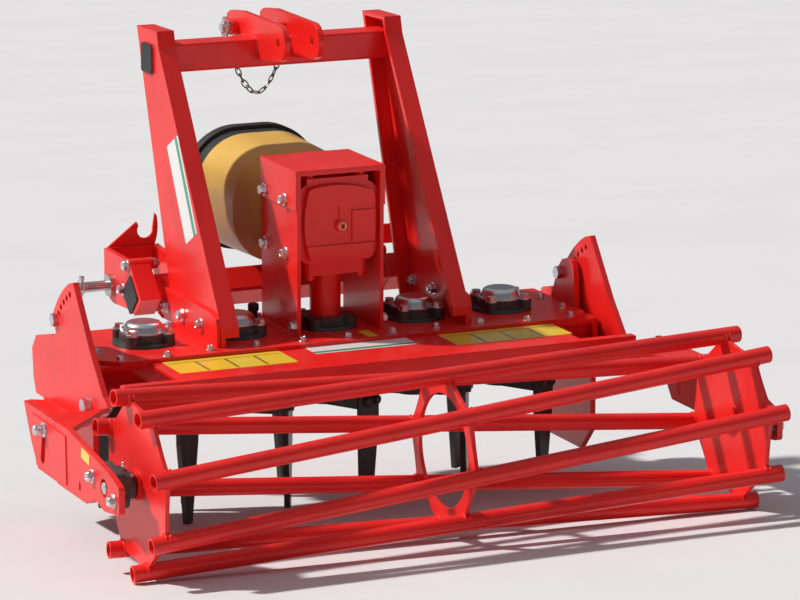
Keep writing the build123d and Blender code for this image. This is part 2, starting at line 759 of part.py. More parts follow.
# Front beam, a square tube standing on its edge
diamond = Location((beam_y, beam_z), 45)
with BuildPart() as front_beam:
    with BuildSketch(Plane.YZ):
        with Locations(diamond):
            RectangleRounded(beam_side, beam_side, 6)
            Rectangle(beam_side - 2 * beam_wall, beam_side - 2 * beam_wall, mode=Mode.SUBTRACT)
    extrude(amount=beam_half_length, both=True)
keep(front_beam.part, "front_beam")

with BuildPart() as beam_plugs:
    for side in (-1, 1):
        with BuildSketch(Plane.YZ.offset(side * beam_half_length)):
            with Locations(diamond):
                RectangleRounded(beam_side, beam_side, 6)
        extrude(amount=side * plug_thickness)
keep(beam_plugs.part, "beam_plugs")

# Lower hitch bracket: two plates in front of the beam, a web and an angle clamp behind the beam's end
hitch_hole = lower_pin / 2 + link_pin_clearance
corner_out = clamp_plate * 2 ** 0.5
clamp_apex = beam_y - beam_half_diagonal - corner_out
clamp_end = clamp_plate / 2 ** 0.5
with BuildPart() as hitch_bracket_right:
    for plate_x, rear_rise in ((hitch_outer_x - hitch_plate, hitch_rise), (hitch_inner_x, 57)):
        with BuildSketch(Plane.YZ.offset(plate_x)):
            with BuildLine():
                Polyline((hitch_front_y, hitch_top), (hitch_front_y, lower_pin_z + 15),
                         (lower_pin_y + 10, lower_pin_z - 31), (lower_pin_y - 14, lower_pin_z - 36),
                         (beam_y + 15, beam_z - 33), (beam_y, beam_z), (beam_y, beam_z + 50),
                         (beam_y + 8, beam_z + rear_rise), close=True)
            make_face()
            with Locations(diamond):
                Rectangle(beam_side, beam_side, mode=Mode.SUBTRACT)
            with Locations((lower_pin_y, lower_pin_z)):
                Circle(hitch_hole, mode=Mode.SUBTRACT)
            with Locations((clamp_bolt_y, clamp_bolt_z)):
                Circle(clamp_bushing / 2, mode=Mode.SUBTRACT)
        extrude(amount=hitch_plate)
    with BuildSketch(Plane.XZ.offset(-hitch_front_y + 8)):
        with Locations(((hitch_inner_x + hitch_outer_x) / 2, hitch_top - 21)):
            Rectangle(hitch_outer_x - hitch_inner_x, 42)
    extrude(amount=-8)
    with BuildSketch(Plane.YZ.offset(hitch_outer_x - clamp_width)):
        with BuildLine():
            Polyline((clamp_apex, beam_z), (clamp_apex + clamp_long_arm, beam_z + clamp_long_arm),
                     (clamp_apex + clamp_long_arm + clamp_end, beam_z + clamp_long_arm - clamp_end),
                     (beam_y, beam_z + beam_half_diagonal), (beam_y - beam_half_diagonal, beam_z),
                     (clamp_apex + clamp_short_arm + clamp_end, beam_z - clamp_short_arm + clamp_end),
                     (clamp_apex + clamp_short_arm, beam_z - clamp_short_arm), close=True)
        make_face()
        with Locations((clamp_bolt_y, clamp_bolt_z)):
            Circle(clamp_bushing / 2, mode=Mode.SUBTRACT)
    extrude(amount=clamp_width)
keep(hitch_bracket_right.part, "hitch_bracket_right")
keep(mirrored(hitch_bracket_right.part), "hitch_bracket_left")

# Bolt bushings on top of the clamps
with BuildPart() as clamp_bushings:
    for side in (-1, 1):
        with BuildSketch(Plane.YZ.offset(side * hitch_outer_x)):
            with Locations((clamp_bolt_y, clamp_bolt_z)):
                Circle(clamp_bushing / 2)
        extrude(amount=-side * clamp_bushing_length)
keep(clamp_bushings.part, "clamp_bushings")

# Lower link pins with their collars
with BuildPart() as lower_pin_right:
    with BuildSketch(Plane.YZ.offset(hitch_inner_x - 8)):
        with Locations((lower_pin_y, lower_pin_z)):
            Circle(lower_pin / 2)
    extrude(amount=hitch_outer_x + lower_pin_reach - hitch_inner_x + 8)
    with BuildSketch(Plane.YZ.offset(hitch_outer_x)):
        with Locations((lower_pin_y, lower_pin_z)):
            Circle(pin_collar / 2)
    extrude(amount=pin_collar_width)
keep(lower_pin_right.part, "lower_pin_right")
keep(mirrored(lower_pin_right.part), "lower_pin_left")

# Notched rest for the drive shaft when the harrow is unhitched
rest_left = hitch_outer_x - 6
rest_right = hitch_inner_x + 21
rest_base = hitch_top - 38
with BuildPart() as shaft_rest:
    with BuildSketch(Plane.XZ.offset(-hitch_front_y)):
        with BuildLine():
            Polyline((-rest_right, hitch_top - 26), (-rest_right, rest_base), (-rest_left, rest_base),
                     (-rest_left, hitch_top - 2),
                     (-rest_right - 27, hitch_top + 50), (-rest_right - 23, hitch_top + 41))
            ThreePointArc((-rest_right - 23, hitch_top + 41), (-rest_right - 7, hitch_top + 14),
                          (-rest_right + 9, hitch_top + 34))
            Polyline((-rest_right + 9, hitch_top + 34), (-rest_right + 14, hitch_top + 66),
                     (-rest_right + 18, hitch_top + 61))
            ThreePointArc((-rest_right + 18, hitch_top + 61), (-rest_right + 17, hitch_top + 12),
                          (-rest_right, hitch_top - 26))
        make_face()
    extrude(amount=-rest_plate)
keep(shaft_rest.part, "shaft_rest")

# Gearbox casting over the middle rotor, with its neck on the middle bearing housing
with BuildPart() as gearbox:
    with BuildSketch(Plane.XZ.offset(-box_rear_y - lid_depth)):
        with Locations((0, (box_top + box_bottom) / 2)):
            RectangleRounded(2 * box_half_width, box_top - box_bottom, box_corner)
    extrude(amount=-(box_front_y - box_rear_y - lid_depth))
    with BuildSketch(Plane.XY.offset(top_flange_top - top_flange_height)):
        with Locations((0, (box_rear_y + lid_depth + box_front_y - 8) / 2)):
            Rectangle(top_flange_width, box_front_y - 8 - box_rear_y - lid_depth)
    extrude(amount=top_flange_height)
    with BuildSketch(Plane.XY.offset(box_bottom - foot_flange_height)):
        RectangleRounded(foot_flange_width, foot_flange_width - 12, 20)
    extrude(amount=foot_flange_height)
    with BuildSketch(Plane.XY.offset(cover_top + bearing_height)):
        Circle(neck_diameter / 2)
    extrude(amount=box_bottom - foot_flange_height - cover_top - bearing_height)
    with BuildSketch(Plane.XZ.offset(-box_front_y)):
        with Locations((0, shaft_z)):
            Circle(input_housing / 2)
    extrude(amount=-input_housing_length)
    with BuildSketch(Plane.XZ.offset(-box_front_y - input_housing_length)):
        with Locations((0, shaft_z)):
            Circle(pto_shaft / 2 + running_gap)
    extrude(amount=input_housing_length, mode=Mode.SUBTRACT)
keep(gearbox.part, "gearbox")

# Rear lid of the gearbox: bowed edges, a lobe above and below, a pad, a rib and the filler plug
band_top = shaft_z + 45
band_bottom = shaft_z - 36
plug_place = (3, shaft_z + 3)
with BuildPart() as gearbox_lid:
    with BuildSketch(Plane.XZ.offset(-box_rear_y - lid_depth)):
        with BuildLine():
            ThreePointArc((-68, shaft_z + 82), (0, shaft_z + 88), (74, shaft_z + 72))
            ThreePointArc((74, shaft_z + 72), (81, shaft_z), (70, shaft_z - 69))
            Line((70, shaft_z - 69), (-64, shaft_z - 70))
            ThreePointArc((-64, shaft_z - 70), (-77, shaft_z + 10), (-68, shaft_z + 82))
        make_face()
        fillet(vertices(), lid_corner)
    extrude(amount=lid_depth)
    with BuildSketch(Plane.XZ.offset(-box_rear_y)):
        with Locations((0, (band_top + band_bottom) / 2)):
            Rectangle(2 * box_half_width, band_top - band_bottom)
        with Locations((52, shaft_z + 1)):
            Rectangle(50, 64, mode=Mode.SUBTRACT)
        with Locations((plug_place[0], (plug_place[1] + band_top) / 2)):
            Rectangle(9, band_top - plug_place[1], mode=Mode.SUBTRACT)
        with Locations(plug_place):
            Circle(plug_diameter / 2, mode=Mode.SUBTRACT)
    extrude(amount=-lid_relief, mode=Mode.SUBTRACT)
    with BuildSketch(Plane.XZ.offset(-box_rear_y)):
        with Locations(plug_place):
            Circle(plug_diameter / 2)
            Circle(plug_hole / 2, mode=Mode.SUBTRACT)
    extrude(amount=lid_relief)
keep(gearbox_lid.part, "gearbox_lid")

# Bracket astride the gearbox with a wall in front that carries the guard, and the sheet hood over it
with BuildPart() as gearbox_bracket:
    with BuildSketch(Plane.XZ.offset(-bracket_front_y)):
        with BuildLine():
            inner = box_half_width
            outer = box_half_width + bracket_plate
            Polyline((-outer, cover_top), (-outer, bracket_top), (outer, bracket_top), (outer, cover_top),
                     (inner, cover_top), (inner, bracket_top - bracket_plate),
                     (-inner, bracket_top - bracket_plate), (-inner, cover_top), close=True)
        make_face()
    extrude(amount=bracket_front_y - bracket_rear_y)
    with BuildSketch(Plane.XZ.offset(-box_front_y)):
        with Locations((0, (bracket_top - bracket_plate + bracket_wall_bottom) / 2)):
            Rectangle(2 * box_half_width, bracket_top - bracket_plate - bracket_wall_bottom)
        with Locations((0, shaft_z)):
            Circle(input_housing / 2, mode=Mode.SUBTRACT)
    extrude(amount=-(bracket_front_y - box_front_y))
keep(gearbox_bracket.part, "gearbox_bracket")

with BuildPart() as gearbox_hood:
    with BuildSketch(Plane.XZ.offset(-bracket_front_y)):
        with BuildLine():
            inner = box_half_width + bracket_plate
            outer = inner + hood_sheet
            Polyline((-outer, hood_bottom), (-outer, bracket_top + hood_sheet),
                     (outer, bracket_top + hood_sheet), (outer, hood_bottom), (inner, hood_bottom),
                     (inner, bracket_top), (-inner, bracket_top), (-inner, hood_bottom), close=True)
        make_face()
    extrude(amount=bracket_front_y - bracket_rear_y)
keep(gearbox_hood.part, "gearbox_hood")

# Splined end of the drive shaft
spline_start = box_front_y + 1
with BuildPart() as pto_stub:
    with BuildSketch(Plane.XZ.offset(-spline_start)):
        with Locations((0, shaft_z)):
            Circle(pto_shaft / 2)
    extrude(amount=-(input_housing_length + 12))
    with BuildSketch(Plane.XZ.offset(-(spline_start + input_housing_length + 12))):
        with Locations((0, shaft_z)):
            Circle(pto_root / 2)
            with PolarLocations(pto_root / 2 - 1, pto_splines):
                Rectangle(7, 8.7)
    extrude(amount=-pto_reach)
keep(pto_stub.part, "pto_stub")

# Bell-shaped guard around the drive shaft, with a rubber band round its mouth
guard_back_y = bracket_front_y
guard_outside = [(guard_back_y, guard_back_step), (guard_back_y + guard_shoulder, guard_shoulder_step),
                 (guard_back_y + guard_bell, guard_bell_step), (guard_front_y, 0)]
guard_inside = [(guard_back_y + guard_wall, guard_back_step + guard_wall),
                (guard_back_y + guard_shoulder + guard_wall, guard_shoulder_step + guard_wall),
                (guard_back_y + guard_bell, guard_bell_step + guard_wall), (guard_front_y, guard_wall)]
with BuildPart() as pto_guard:
    for sections, mode in ((guard_outside, Mode.ADD), (guard_inside, Mode.SUBTRACT)):
        for y, step in sections:
            with BuildSketch(Plane.XZ.offset(-y)):
                with Locations((0, shaft_z)):
                    RectangleRounded(2 * (guard_half_width - step), 2 * (guard_half_height - step),
                                     guard_corner - step)
        loft(ruled=True, mode=mode)
    with BuildSketch(Plane.XZ.offset(-guard_back_y)):
        with Locations((0, shaft_z)):
            Circle(input_housing / 2 + 2)
    extrude(amount=-guard_wall, mode=Mode.SUBTRACT)
keep(pto_guard.part, "pto_guard")

with BuildPart() as guard_rim:
    for start, depth, outward, inward in ((guard_front_y - rim_width, rim_width, rim_wall, 0),
                                          (guard_front_y, rim_lip, rim_wall, -guard_wall)):
        with BuildSketch(Plane.XZ.offset(-start)):
            with Locations((0, shaft_z)):
                RectangleRounded(2 * (guard_half_width + outward), 2 * (guard_half_height + outward),
                                 guard_corner + outward)
                RectangleRounded(2 * (guard_half_width + inward), 2 * (guard_half_height + inward),
                                 guard_corner + inward, mode=Mode.SUBTRACT)
        extrude(amount=-depth)
keep(guard_rim.part, "guard_rim")

# The whole machine stands on its tine tips and roller, with its box centred over the origin
pitched = [piece.rotate(Axis.X, park_pitch) for piece in finished]
boxes = [piece.bounding_box() for piece in pitched]
rear_end = min(box.min.Y for box in boxes)
front_end = max(box.max.Y for box in boxes)
lowest = min(box.min.Z for box in boxes)
parked = Pos(0, -(rear_end + front_end) / 2, -lowest)

os.makedirs("parts", exist_ok=True)
for source, piece in zip(finished, pitched):
    placed = parked * piece
    placed.label = source.label
    export_step(placed, "parts/" + source.label + ".step")
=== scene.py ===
import json
import math

import bmesh
import bpy
import numpy as np
from bpy.props import FloatProperty, FloatVectorProperty, IntProperty, PointerProperty
from mathutils import Matrix, Vector


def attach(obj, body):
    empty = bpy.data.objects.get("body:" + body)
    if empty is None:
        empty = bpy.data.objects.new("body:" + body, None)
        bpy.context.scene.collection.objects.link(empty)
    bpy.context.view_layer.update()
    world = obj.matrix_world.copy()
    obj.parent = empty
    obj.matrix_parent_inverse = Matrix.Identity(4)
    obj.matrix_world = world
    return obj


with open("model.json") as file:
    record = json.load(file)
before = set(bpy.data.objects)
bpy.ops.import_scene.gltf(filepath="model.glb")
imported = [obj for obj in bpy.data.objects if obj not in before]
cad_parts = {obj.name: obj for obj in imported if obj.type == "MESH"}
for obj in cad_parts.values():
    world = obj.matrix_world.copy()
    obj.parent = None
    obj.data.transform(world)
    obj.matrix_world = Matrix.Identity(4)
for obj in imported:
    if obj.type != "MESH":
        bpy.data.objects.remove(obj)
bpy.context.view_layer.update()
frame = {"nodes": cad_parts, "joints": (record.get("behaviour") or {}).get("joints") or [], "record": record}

bl_info = {
    "name": "Power harrow dressing",
    "version": (1, 0, 0),
    "blender": (4, 5, 0),
    "location": "View3D > Sidebar > Harrow",
    "description": "Paint, castings, fasteners, chain and labels for a compact power harrow",
    "category": "Object",
}

# The machine is described in its own level frame, in millimetres, and stands a little nose up.
middle_spin = next(j for j in frame["joints"] if j["name"] == "rotor_3_spin")
ROTOR_JOINT_HEIGHT = 165.0
UP = np.array(middle_spin["axis"])
PITCH = math.asin(-UP[1])
COS, SIN = math.cos(PITCH), math.sin(PITCH)
SHIFT = np.array(middle_spin["pos_m"]) - UP * ROTOR_JOINT_HEIGHT / 1000
TURN = np.array([[1, 0, 0], [0, COS, -SIN], [0, SIN, COS]])


# Places and sizes on the level machine in millimetres
COVER_TOP = 310.0
LEDGE_TOP = 302.0
FOOT_FACE_X = 283.0
MAST_FACE_X = 275.0
CLAMP_FACE_X = 345.0
ARM_FACE_X = 707.0
ROTOR_PITCH = 200.0
ROTOR_COUNT = 5
TINE_BOLT_RADIUS = 114.0
TINE_BOLT_HEIGHT = 165.7
ROLLER_Y = -587.0
ROLLER_Z = 184.0
TUBE_COUNT = 8
TUBE_CIRCLE = 167.25
TUBE_SPAN = 1338.0
FIRST_TUBE_DEG = 74.0
TWIST_DEG = 45.0
DISC_X = 637.0
DISC_HALF = 4.0
GUARD_BAND_Y = 352.0
UPWARD = (0, 0, 1)

# The photograph's camera and sun, as directions of the level machine
CAMERA_RIGHT = (0.91096697, -0.41246102, 0.00388391)
CAMERA_UP = (0.08725892, 0.20190704, 0.97550983)
CAMERA_BACK = (-0.40314397, -0.88831833, 0.21992155)
CAMERA_TARGET = (169.3, 0.0, 347.25)
SUNBEAM = (0.60, -0.36, -0.72)

# Metres that the lines of a sticker stay off its edge, and half of the floor's side
LABEL_RIM = 0.004
FLOOR_HALF = 40.0


def parked(points):
    """Points of the level machine in mm, as an array, to metres in the parked frame."""
    return np.asarray(points, float) @ TURN.T / 1000 + SHIFT


def turned(direction):
    """A direction of the level machine in the parked frame, as a unit vector."""
    v = np.asarray(direction, float) @ TURN.T
    return v / np.linalg.norm(v)


def pair(x, y, z):
    """The same place on the left and on the right of the machine."""
    return [(-x, y, z), (x, y, z)]


def sideways(places, way=1):
    """Directions along X that point away from the machine's middle, or towards it with way -1."""
    return [(way * math.copysign(1.0, x), 0.0, 0.0) for x, _, _ in places]


# Shader helpers
class Flow:
    """A socket with arithmetic: every operator adds the Math node that works it out."""

    def __init__(self, sheet, socket):
        self.sheet = sheet
        self.socket = socket

    def _math(self, operation, *others):
        values = {i: v for i, v in enumerate(others)}
        return self.sheet.node("ShaderNodeMath", {"operation": operation}, values)[0]

    def __add__(self, other):
        return self._math("ADD", self, other)

    def __sub__(self, other):
        return self._math("SUBTRACT", self, other)

    def __rsub__(self, other):
        return self._math("SUBTRACT", other, self)

    def __mul__(self, other):
        return self._math("MULTIPLY", self, other)

    def __truediv__(self, other):
        return self._math("DIVIDE", self, other)

    def __abs__(self):
        return self._math("ABSOLUTE", self)

    def __lt__(self, other):
        return self._math("LESS_THAN", self, other)

    def __gt__(self, other):
        return self._math("GREATER_THAN", self, other)

    def low(self, other):
        return self._math("MINIMUM", self, other)

    def high(self, other):
        return self._math("MAXIMUM", self, other)

    def floor(self):
        return self._math("FLOOR", self)

    def ramp(self, start, end):
        """0 below start, 1 above end, smooth between."""
        return self.sheet.node("ShaderNodeMapRange", {"interpolation_type": "SMOOTHSTEP"},
                               {"Value": self, "From Min": start, "From Max": end})[0]


class Sheet:
    """One material's node tree."""

    def __init__(self, name, colour, rough, metal=0.0, coat=0.0, coat_rough=0.05, specular=0.5):
        self.material = bpy.data.materials.new(name)
        self.material.use_nodes = True
        self.tree = self.material.node_tree
        self.tree.nodes.clear()
        self.out = self.tree.nodes.new("ShaderNodeOutputMaterial")
        self.skin = self.tree.nodes.new("ShaderNodeBsdfPrincipled")
        self.tree.links.new(self.skin.outputs[0], self.out.inputs[0])
        self.set("Base Color", (*colour, 1.0))
        self.set("Roughness", rough)
        self.set("Metallic", metal)
        self.set("Coat Weight", coat)
        self.set("Coat Roughness", coat_rough)
        self.set("Specular IOR Level", specular)
        self.material.diffuse_color = (*colour, 1.0)

    def set(self, socket, value):
        if isinstance(value, Flow):
            self.tree.links.new(value.socket, self.skin.inputs[socket])
        else:
            self.skin.inputs[socket].default_value = value

    def node(self, kind, settings=None, values=None):
        """Adds a node: its settings first, then its sockets, each a number, a tuple or a Flow."""
        made = self.tree.nodes.new(kind)
        for key, value in (settings or {}).items():
            setattr(made, key, value)
        for key, value in (values or {}).items():
            if isinstance(value, Flow):
                self.tree.links.new(value.socket, made.inputs[key])
            else:
                made.inputs[key].default_value = value
        return [Flow(self, s) for s in made.outputs]

    def place(self, centre=(0, 0, 0), turn=(0, 0, 0), scale=(1, 1, 1)):
        """Object coordinates seen from a centre, turned and scaled."""
        spot = self.node("ShaderNodeTexCoord")[3]
        return self.node("ShaderNodeMapping", {"vector_type": "TEXTURE"},
                         {"Vector": spot, "Location": centre, "Rotation": turn, "Scale": scale})[0]

    def noise(self, scale, detail=3.0, rough=0.5, stretch=(1, 1, 1)):
        """Soft clouds in object coordinates; a larger stretch draws them out along that axis."""
        return self.node("ShaderNodeTexNoise", None, {"Vector": self.place(scale=stretch), "Scale": scale,
                                                      "Detail": detail, "Roughness": rough})[0]

    def axes(self, centre=(0, 0, 0), turn=(0, 0, 0)):
        """The three object coordinates as Flows."""
        return self.node("ShaderNodeSeparateXYZ", None, {0: self.place(centre, turn)})

    def mix(self, share, low, high):
        """Colour between low and high."""
        low = low if isinstance(low, Flow) else (*low, 1.0)
        high = high if isinstance(high, Flow) else (*high, 1.0)
        return self.node("ShaderNodeMix", {"data_type": "RGBA"}, {0: share, 6: low, 7: high})[2]

    def bump(self, height, distance, strength=1.0, base=None):
        values = {"Height": height, "Distance": distance, "Strength": strength}
        if base is not None:
            values["Normal"] = base
        return self.node("ShaderNodeBump", None, values)[0]


def powder_coat(name, colour, deep, rough, coat, peel, settings):
    """Powder coat: an orange-peel bump, a slightly uneven colour, dust on tops and sparse dark specks."""
    sheet = Sheet(name, colour, rough, coat=coat, coat_rough=settings.coat_roughness, specular=0.32)
    cloud = sheet.noise(7.0, 3.0)
    grain = sheet.noise(300.0, 2.0)
    speck = sheet.noise(1500.0, 1.0)
    tint = sheet.mix(cloud.ramp(0.35, 0.7), colour, deep)
    up = sheet.node("ShaderNodeSeparateXYZ", None, {0: sheet.node("ShaderNodeNewGeometry")[1]})[2]
    film = sheet.noise(26.0, 6.0, 0.72).ramp(0.40, 0.80)
    dust = up.ramp(0.55, 0.98) * film * settings.dust
    specks = sheet.noise(210.0, 2.0).ramp(0.70, 0.76) * sheet.noise(19.0, 3.0).ramp(0.5, 0.7) * 0.35
    tint = sheet.mix(dust, tint, (0.66, 0.50, 0.42))
    tint = sheet.mix(specks * settings.dust * 4.0, tint, (0.35, 0.02, 0.015))
    sheet.set("Base Color", tint)
    sheet.set("Roughness", cloud * 0.08 + dust * 0.5 + (rough - 0.04))
    sheet.set("Coat Weight", (1.0 - dust * 3.0).high(0.3) * coat)
    edge = sheet.node("ShaderNodeBevel", {"samples": 4}, {"Radius": settings.edge_radius / 1000})[0]
    skin = sheet.bump(grain, peel, 0.5, edge)
    sheet.set("Normal", sheet.bump(speck, peel * 0.25, 0.35, skin))
    return sheet.material


def cast_iron(name, colour, rough, settings):
    """Sand casting under black paint: coarse pits, soft clouds and worn lighter high spots."""
    sheet = Sheet(name, colour, rough, coat=0.3, coat_rough=0.28)
    pits = sheet.noise(210.0, 4.0, 0.62)
    cloud = sheet.noise(24.0, 3.0)
    light = tuple(c * 1.7 + 0.014 for c in colour)
    sheet.set("Base Color", sheet.mix((cloud * pits * 2.0).ramp(0.35, 0.75), colour, light))
    sheet.set("Roughness", pits * 0.25 + (rough - 0.1))
    edge = sheet.node("ShaderNodeBevel", {"samples": 4}, {"Radius": settings.edge_radius / 800})[0]
    sheet.set("Normal", sheet.bump(pits, 0.0009, 0.75, edge))
    return sheet.material


def plated_steel(name, colour, warm, rough):
    """Zinc plating: a bright skin with faint warm clouds, fine scratches and dull spots."""
    sheet = Sheet(name, colour, rough, metal=1.0)
    cloud = sheet.noise(70.0, 3.0)
    scratch = sheet.noise(900.0, 2.0, 0.5, stretch=(1.0, 0.12, 1.0))
    sheet.set("Base Color", sheet.mix(cloud.ramp(0.4, 0.72), colour, warm))
    dull = sheet.noise(160.0, 4.0, 0.6).ramp(0.55, 0.75)
    sheet.set("Roughness", scratch * 0.14 + dull * 0.12 + (rough - 0.08))
    sheet.set("Normal", sheet.bump(scratch, 0.00012, 0.4))
    return sheet.material


def turned_steel(name, colour, rough, across):
    """Bright turned steel: close rings from the tool along the part's axis."""
    sheet = Sheet(name, colour, rough, metal=1.0)
    rings = sheet.node("ShaderNodeTexWave", {"wave_type": "BANDS", "bands_direction": across},
                       {"Vector": sheet.place(), "Scale": 420.0, "Distortion": 1.2, "Detail": 2.0})[1]
    cloud = sheet.noise(35.0, 4.0)
    sheet.set("Base Color", sheet.mix(cloud.ramp(0.3, 0.8), colour, tuple(c * 0.72 for c in colour)))
    sheet.set("Roughness", cloud * 0.18 + (rough - 0.06))
    sheet.set("Normal", sheet.bump(rings, 0.00006, 0.5))
    return sheet.material


def moulded(name, colour, pale, rough, pore, depth):
    """Moulded plastic or rubber: fine pores, a faint flow pattern and a slightly chalky bloom."""
    sheet = Sheet(name, colour, rough, specular=0.45)
    pores = sheet.noise(pore, 2.0)
    flow = sheet.noise(14.0, 3.0, 0.6, stretch=(1.0, 3.0, 1.0))
    sheet.set("Base Color", sheet.mix(flow.ramp(0.35, 0.75), colour, pale))
    sheet.set("Roughness", flow * 0.14 + (rough - 0.07))
    sheet.set("Normal", sheet.bump(pores, depth, 0.5))
    return sheet.material


def guard_with_painted_shade(name, colour, painted_shade, band, band_from, rough):
    """Guard plastic: a moulded skin, painted shade that turns it a darker brown towards the bottom, and a
    rubber band at the mouth.
    The band starts at this distance in metres along the level machine's forward axis."""
    sheet = Sheet(name, colour, rough, specular=0.4)
    flow = sheet.noise(14.0, 3.0, 0.6, stretch=(1.0, 3.0, 1.0))
    _, y, z = sheet.axes()
    # Painted shade: lower down, the guard's colour turns to a darker brown that stands in for the weaker
    # light there.
    unshaded_share = (z + flow * 0.08).ramp(0.64, 0.78)
    along = (y - float(SHIFT[1])) * COS + (z - float(SHIFT[2])) * SIN
    sheet.set("Base Color", sheet.mix(along > band_from, sheet.mix(unshaded_share, painted_shade, colour), band))
    sheet.set("Roughness", flow * 0.14 + (rough - 0.07))
    sheet.set("Normal", sheet.bump(sheet.noise(900.0, 2.0), 0.0002, 0.5))
    return sheet.material


def label_sheet(name, centre, size, ground, ink, columns, head, turn):
    """A plain sticker: a line under its head and lines between its empty fields, off its edge.
    Along its face u and v run from 0 to 1, after the turn that lays them on it."""
    sheet = Sheet(name, ground, 0.30, coat=0.45, coat_rough=0.12)
    x, y, _ = sheet.axes(tuple(centre), turn)
    u, v = x / size[0] + 0.5, y / size[1] + 0.5
    fade = sheet.noise(60.0, 3.0).ramp(0.3, 0.8) * 0.16
    paper = sheet.mix(fade, ground, tuple(c * 0.78 for c in ground))
    if columns:
        field = u * float(columns)
        between = (abs(field - (field + 0.5).floor()) < 0.012 * columns) * (v < 1.0 - head)
        lines = (between + (abs(v - (1.0 - head)) < 0.018)).low(1.0)
        edges = [abs(way - 0.5) > 0.5 - LABEL_RIM / across for way, across in ((u, size[0]), (v, size[1]))]
        paper = sheet.mix(lines * (1.0 - (edges[0] + edges[1]).low(1.0)) * 0.75, paper, ink)
    sheet.set("Base Color", paper)
    sheet.set("Normal", sheet.bump(sheet.noise(700.0, 2.0), 0.0001, 0.3))
    return sheet.material


def two_tone(name, centre, size, ground, band, turn):
    """A plain plate with a coloured band along its lower edge and no lettering."""
    sheet = Sheet(name, ground, 0.28, coat=0.45, coat_rough=0.1)
    _, y, _ = sheet.axes(tuple(centre), turn)
    share = ((y / size) < -0.20) * ((y / size) > -0.40)
    fade = sheet.noise(40.0, 3.0).ramp(0.3, 0.8) * 0.14
    sheet.set("Base Color", sheet.mix(share, sheet.mix(fade, ground, (0.56, 0.58, 0.57)), band))
    sheet.set("Normal", sheet.bump(sheet.noise(700.0, 2.0), 0.0001, 0.3))
    return sheet.material


# Shapes
def make_piece(name, points, material, body, wrap_rows=False, wrap_sides=True, crease=35.0):
    """A piece from a stack of grids: points has the shape (grids, rows, sides, 3), in metres.
    Neighbouring rows and sides make the faces; equal points, such as poles, are merged."""
    grids, rows, sides, _ = points.shape
    r = np.arange(rows if wrap_rows else rows - 1)
    s = np.arange(sides if wrap_sides else sides - 1)
    g, r, s = np.meshgrid(np.arange(grids), r, s, indexing="ij")
    r2, s2 = (r + 1) % rows, (s + 1) % sides
    faces = np.stack([(g * rows + a) * sides + b for a, b in ((r, s), (r, s2), (r2, s2), (r2, s))], axis=-1)
    mesh = bpy.data.meshes.new(name)
    mesh.from_pydata(points.reshape(-1, 3).tolist(), [], faces.reshape(-1, 4).tolist())
    work = bmesh.new()
    work.from_mesh(mesh)
    bmesh.ops.remove_doubles(work, verts=work.verts, dist=1e-6)
    bmesh.ops.dissolve_degenerate(work, edges=work.edges, dist=1e-7)
    bmesh.ops.recalc_face_normals(work, faces=work.faces)
    work.to_mesh(mesh)
    work.free()
    mesh.shade_smooth()
    mesh.set_sharp_from_angle(angle=math.radians(crease))
    mesh.materials.append(material)
    piece = bpy.data.objects.new(name, mesh)
    bpy.context.scene.collection.objects.link(piece)
    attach(piece, body)
    return piece


def side_vectors(axes, turns=0.0):
    """Two unit vectors square to each axis and to each other, turned about it by an angle."""
    axes = np.asarray(axes, float)
    axes = axes / np.linalg.norm(axes, axis=-1, keepdims=True)
    helper = np.where(np.abs(axes[:, :1]) > 0.8, [[0.0, 1.0, 0.0]], [[1.0, 0.0, 0.0]])
    a = helper - np.sum(helper * axes, axis=1, keepdims=True) * axes
    a /= np.linalg.norm(a, axis=1, keepdims=True)
    b = np.cross(axes, a)
    t = np.broadcast_to(np.asarray(turns, float), (len(axes),))[:, None]
    return axes, np.cos(t) * a + np.sin(t) * b, np.cos(t) * b - np.sin(t) * a


def lathe(places, axes, rows, sides=24, turns=0.0):
    """Turned bodies at many places: the radius at angle t is r(1 + h(1/cos(t mod 60 - 30) - 1)).
    Each row is a distance along the axis, a radius and h, which is 0 for round and 1 for a hexagon."""
    axes, a, b = side_vectors(axes, turns)
    rows = np.asarray(rows, float)
    t = np.arange(sides) * 2 * np.pi / sides
    hexagon = 1 / np.cos(np.mod(t, np.pi / 3) - np.pi / 6)
    radius = rows[:, 1, None] * (1 + rows[:, 2, None] * (hexagon - 1))
    cosine, sine = np.cos(t)[None, None, :, None], np.sin(t)[None, None, :, None]
    ring = a[:, None, None] * cosine + b[:, None, None] * sine
    spots = np.asarray(places, float)[:, None, None] + axes[:, None, None] * rows[None, :, 0, None, None]
    return parked(spots + ring * radius[None, :, :, None])


def turned_piece(name, places, axes, profile, finish, body="harrow_frame", sides=24, turns=0.0):
    """The same turned body at many places, as one piece."""
    return make_piece(name, lathe(places, axes, profile, sides, turns), material(finish), body)


def swept(path, radius, sides=10, closed=False, up=(0.0, 0.0, 1.0)):
    """A round section carried along a path: p(s) + r(cos t n + sin t b), n and b square to the run."""
    path = np.asarray(path, float)
    ahead = np.roll(path, -1, 0) - np.roll(path, 1, 0)
    if not closed:
        ahead[0], ahead[-1] = path[1] - path[0], path[-1] - path[-2]
    ahead /= np.linalg.norm(ahead, axis=1, keepdims=True)
    n = np.cross(np.broadcast_to(up, ahead.shape), ahead)
    n /= np.linalg.norm(n, axis=1, keepdims=True)
    b = np.cross(ahead, n)
    t = np.arange(sides) * 2 * np.pi / sides
    radius = np.broadcast_to(np.asarray(radius, float), (len(path),))
    rim = n[:, None] * np.cos(t)[None, :, None] + b[:, None] * np.sin(t)[None, :, None]
    points = path[:, None] + rim * radius[:, None, None]
    if not closed:
        points = np.concatenate([np.broadcast_to(path[0], (1, sides, 3)), points,
                                 np.broadcast_to(path[-1], (1, sides, 3))])
    return points[None]


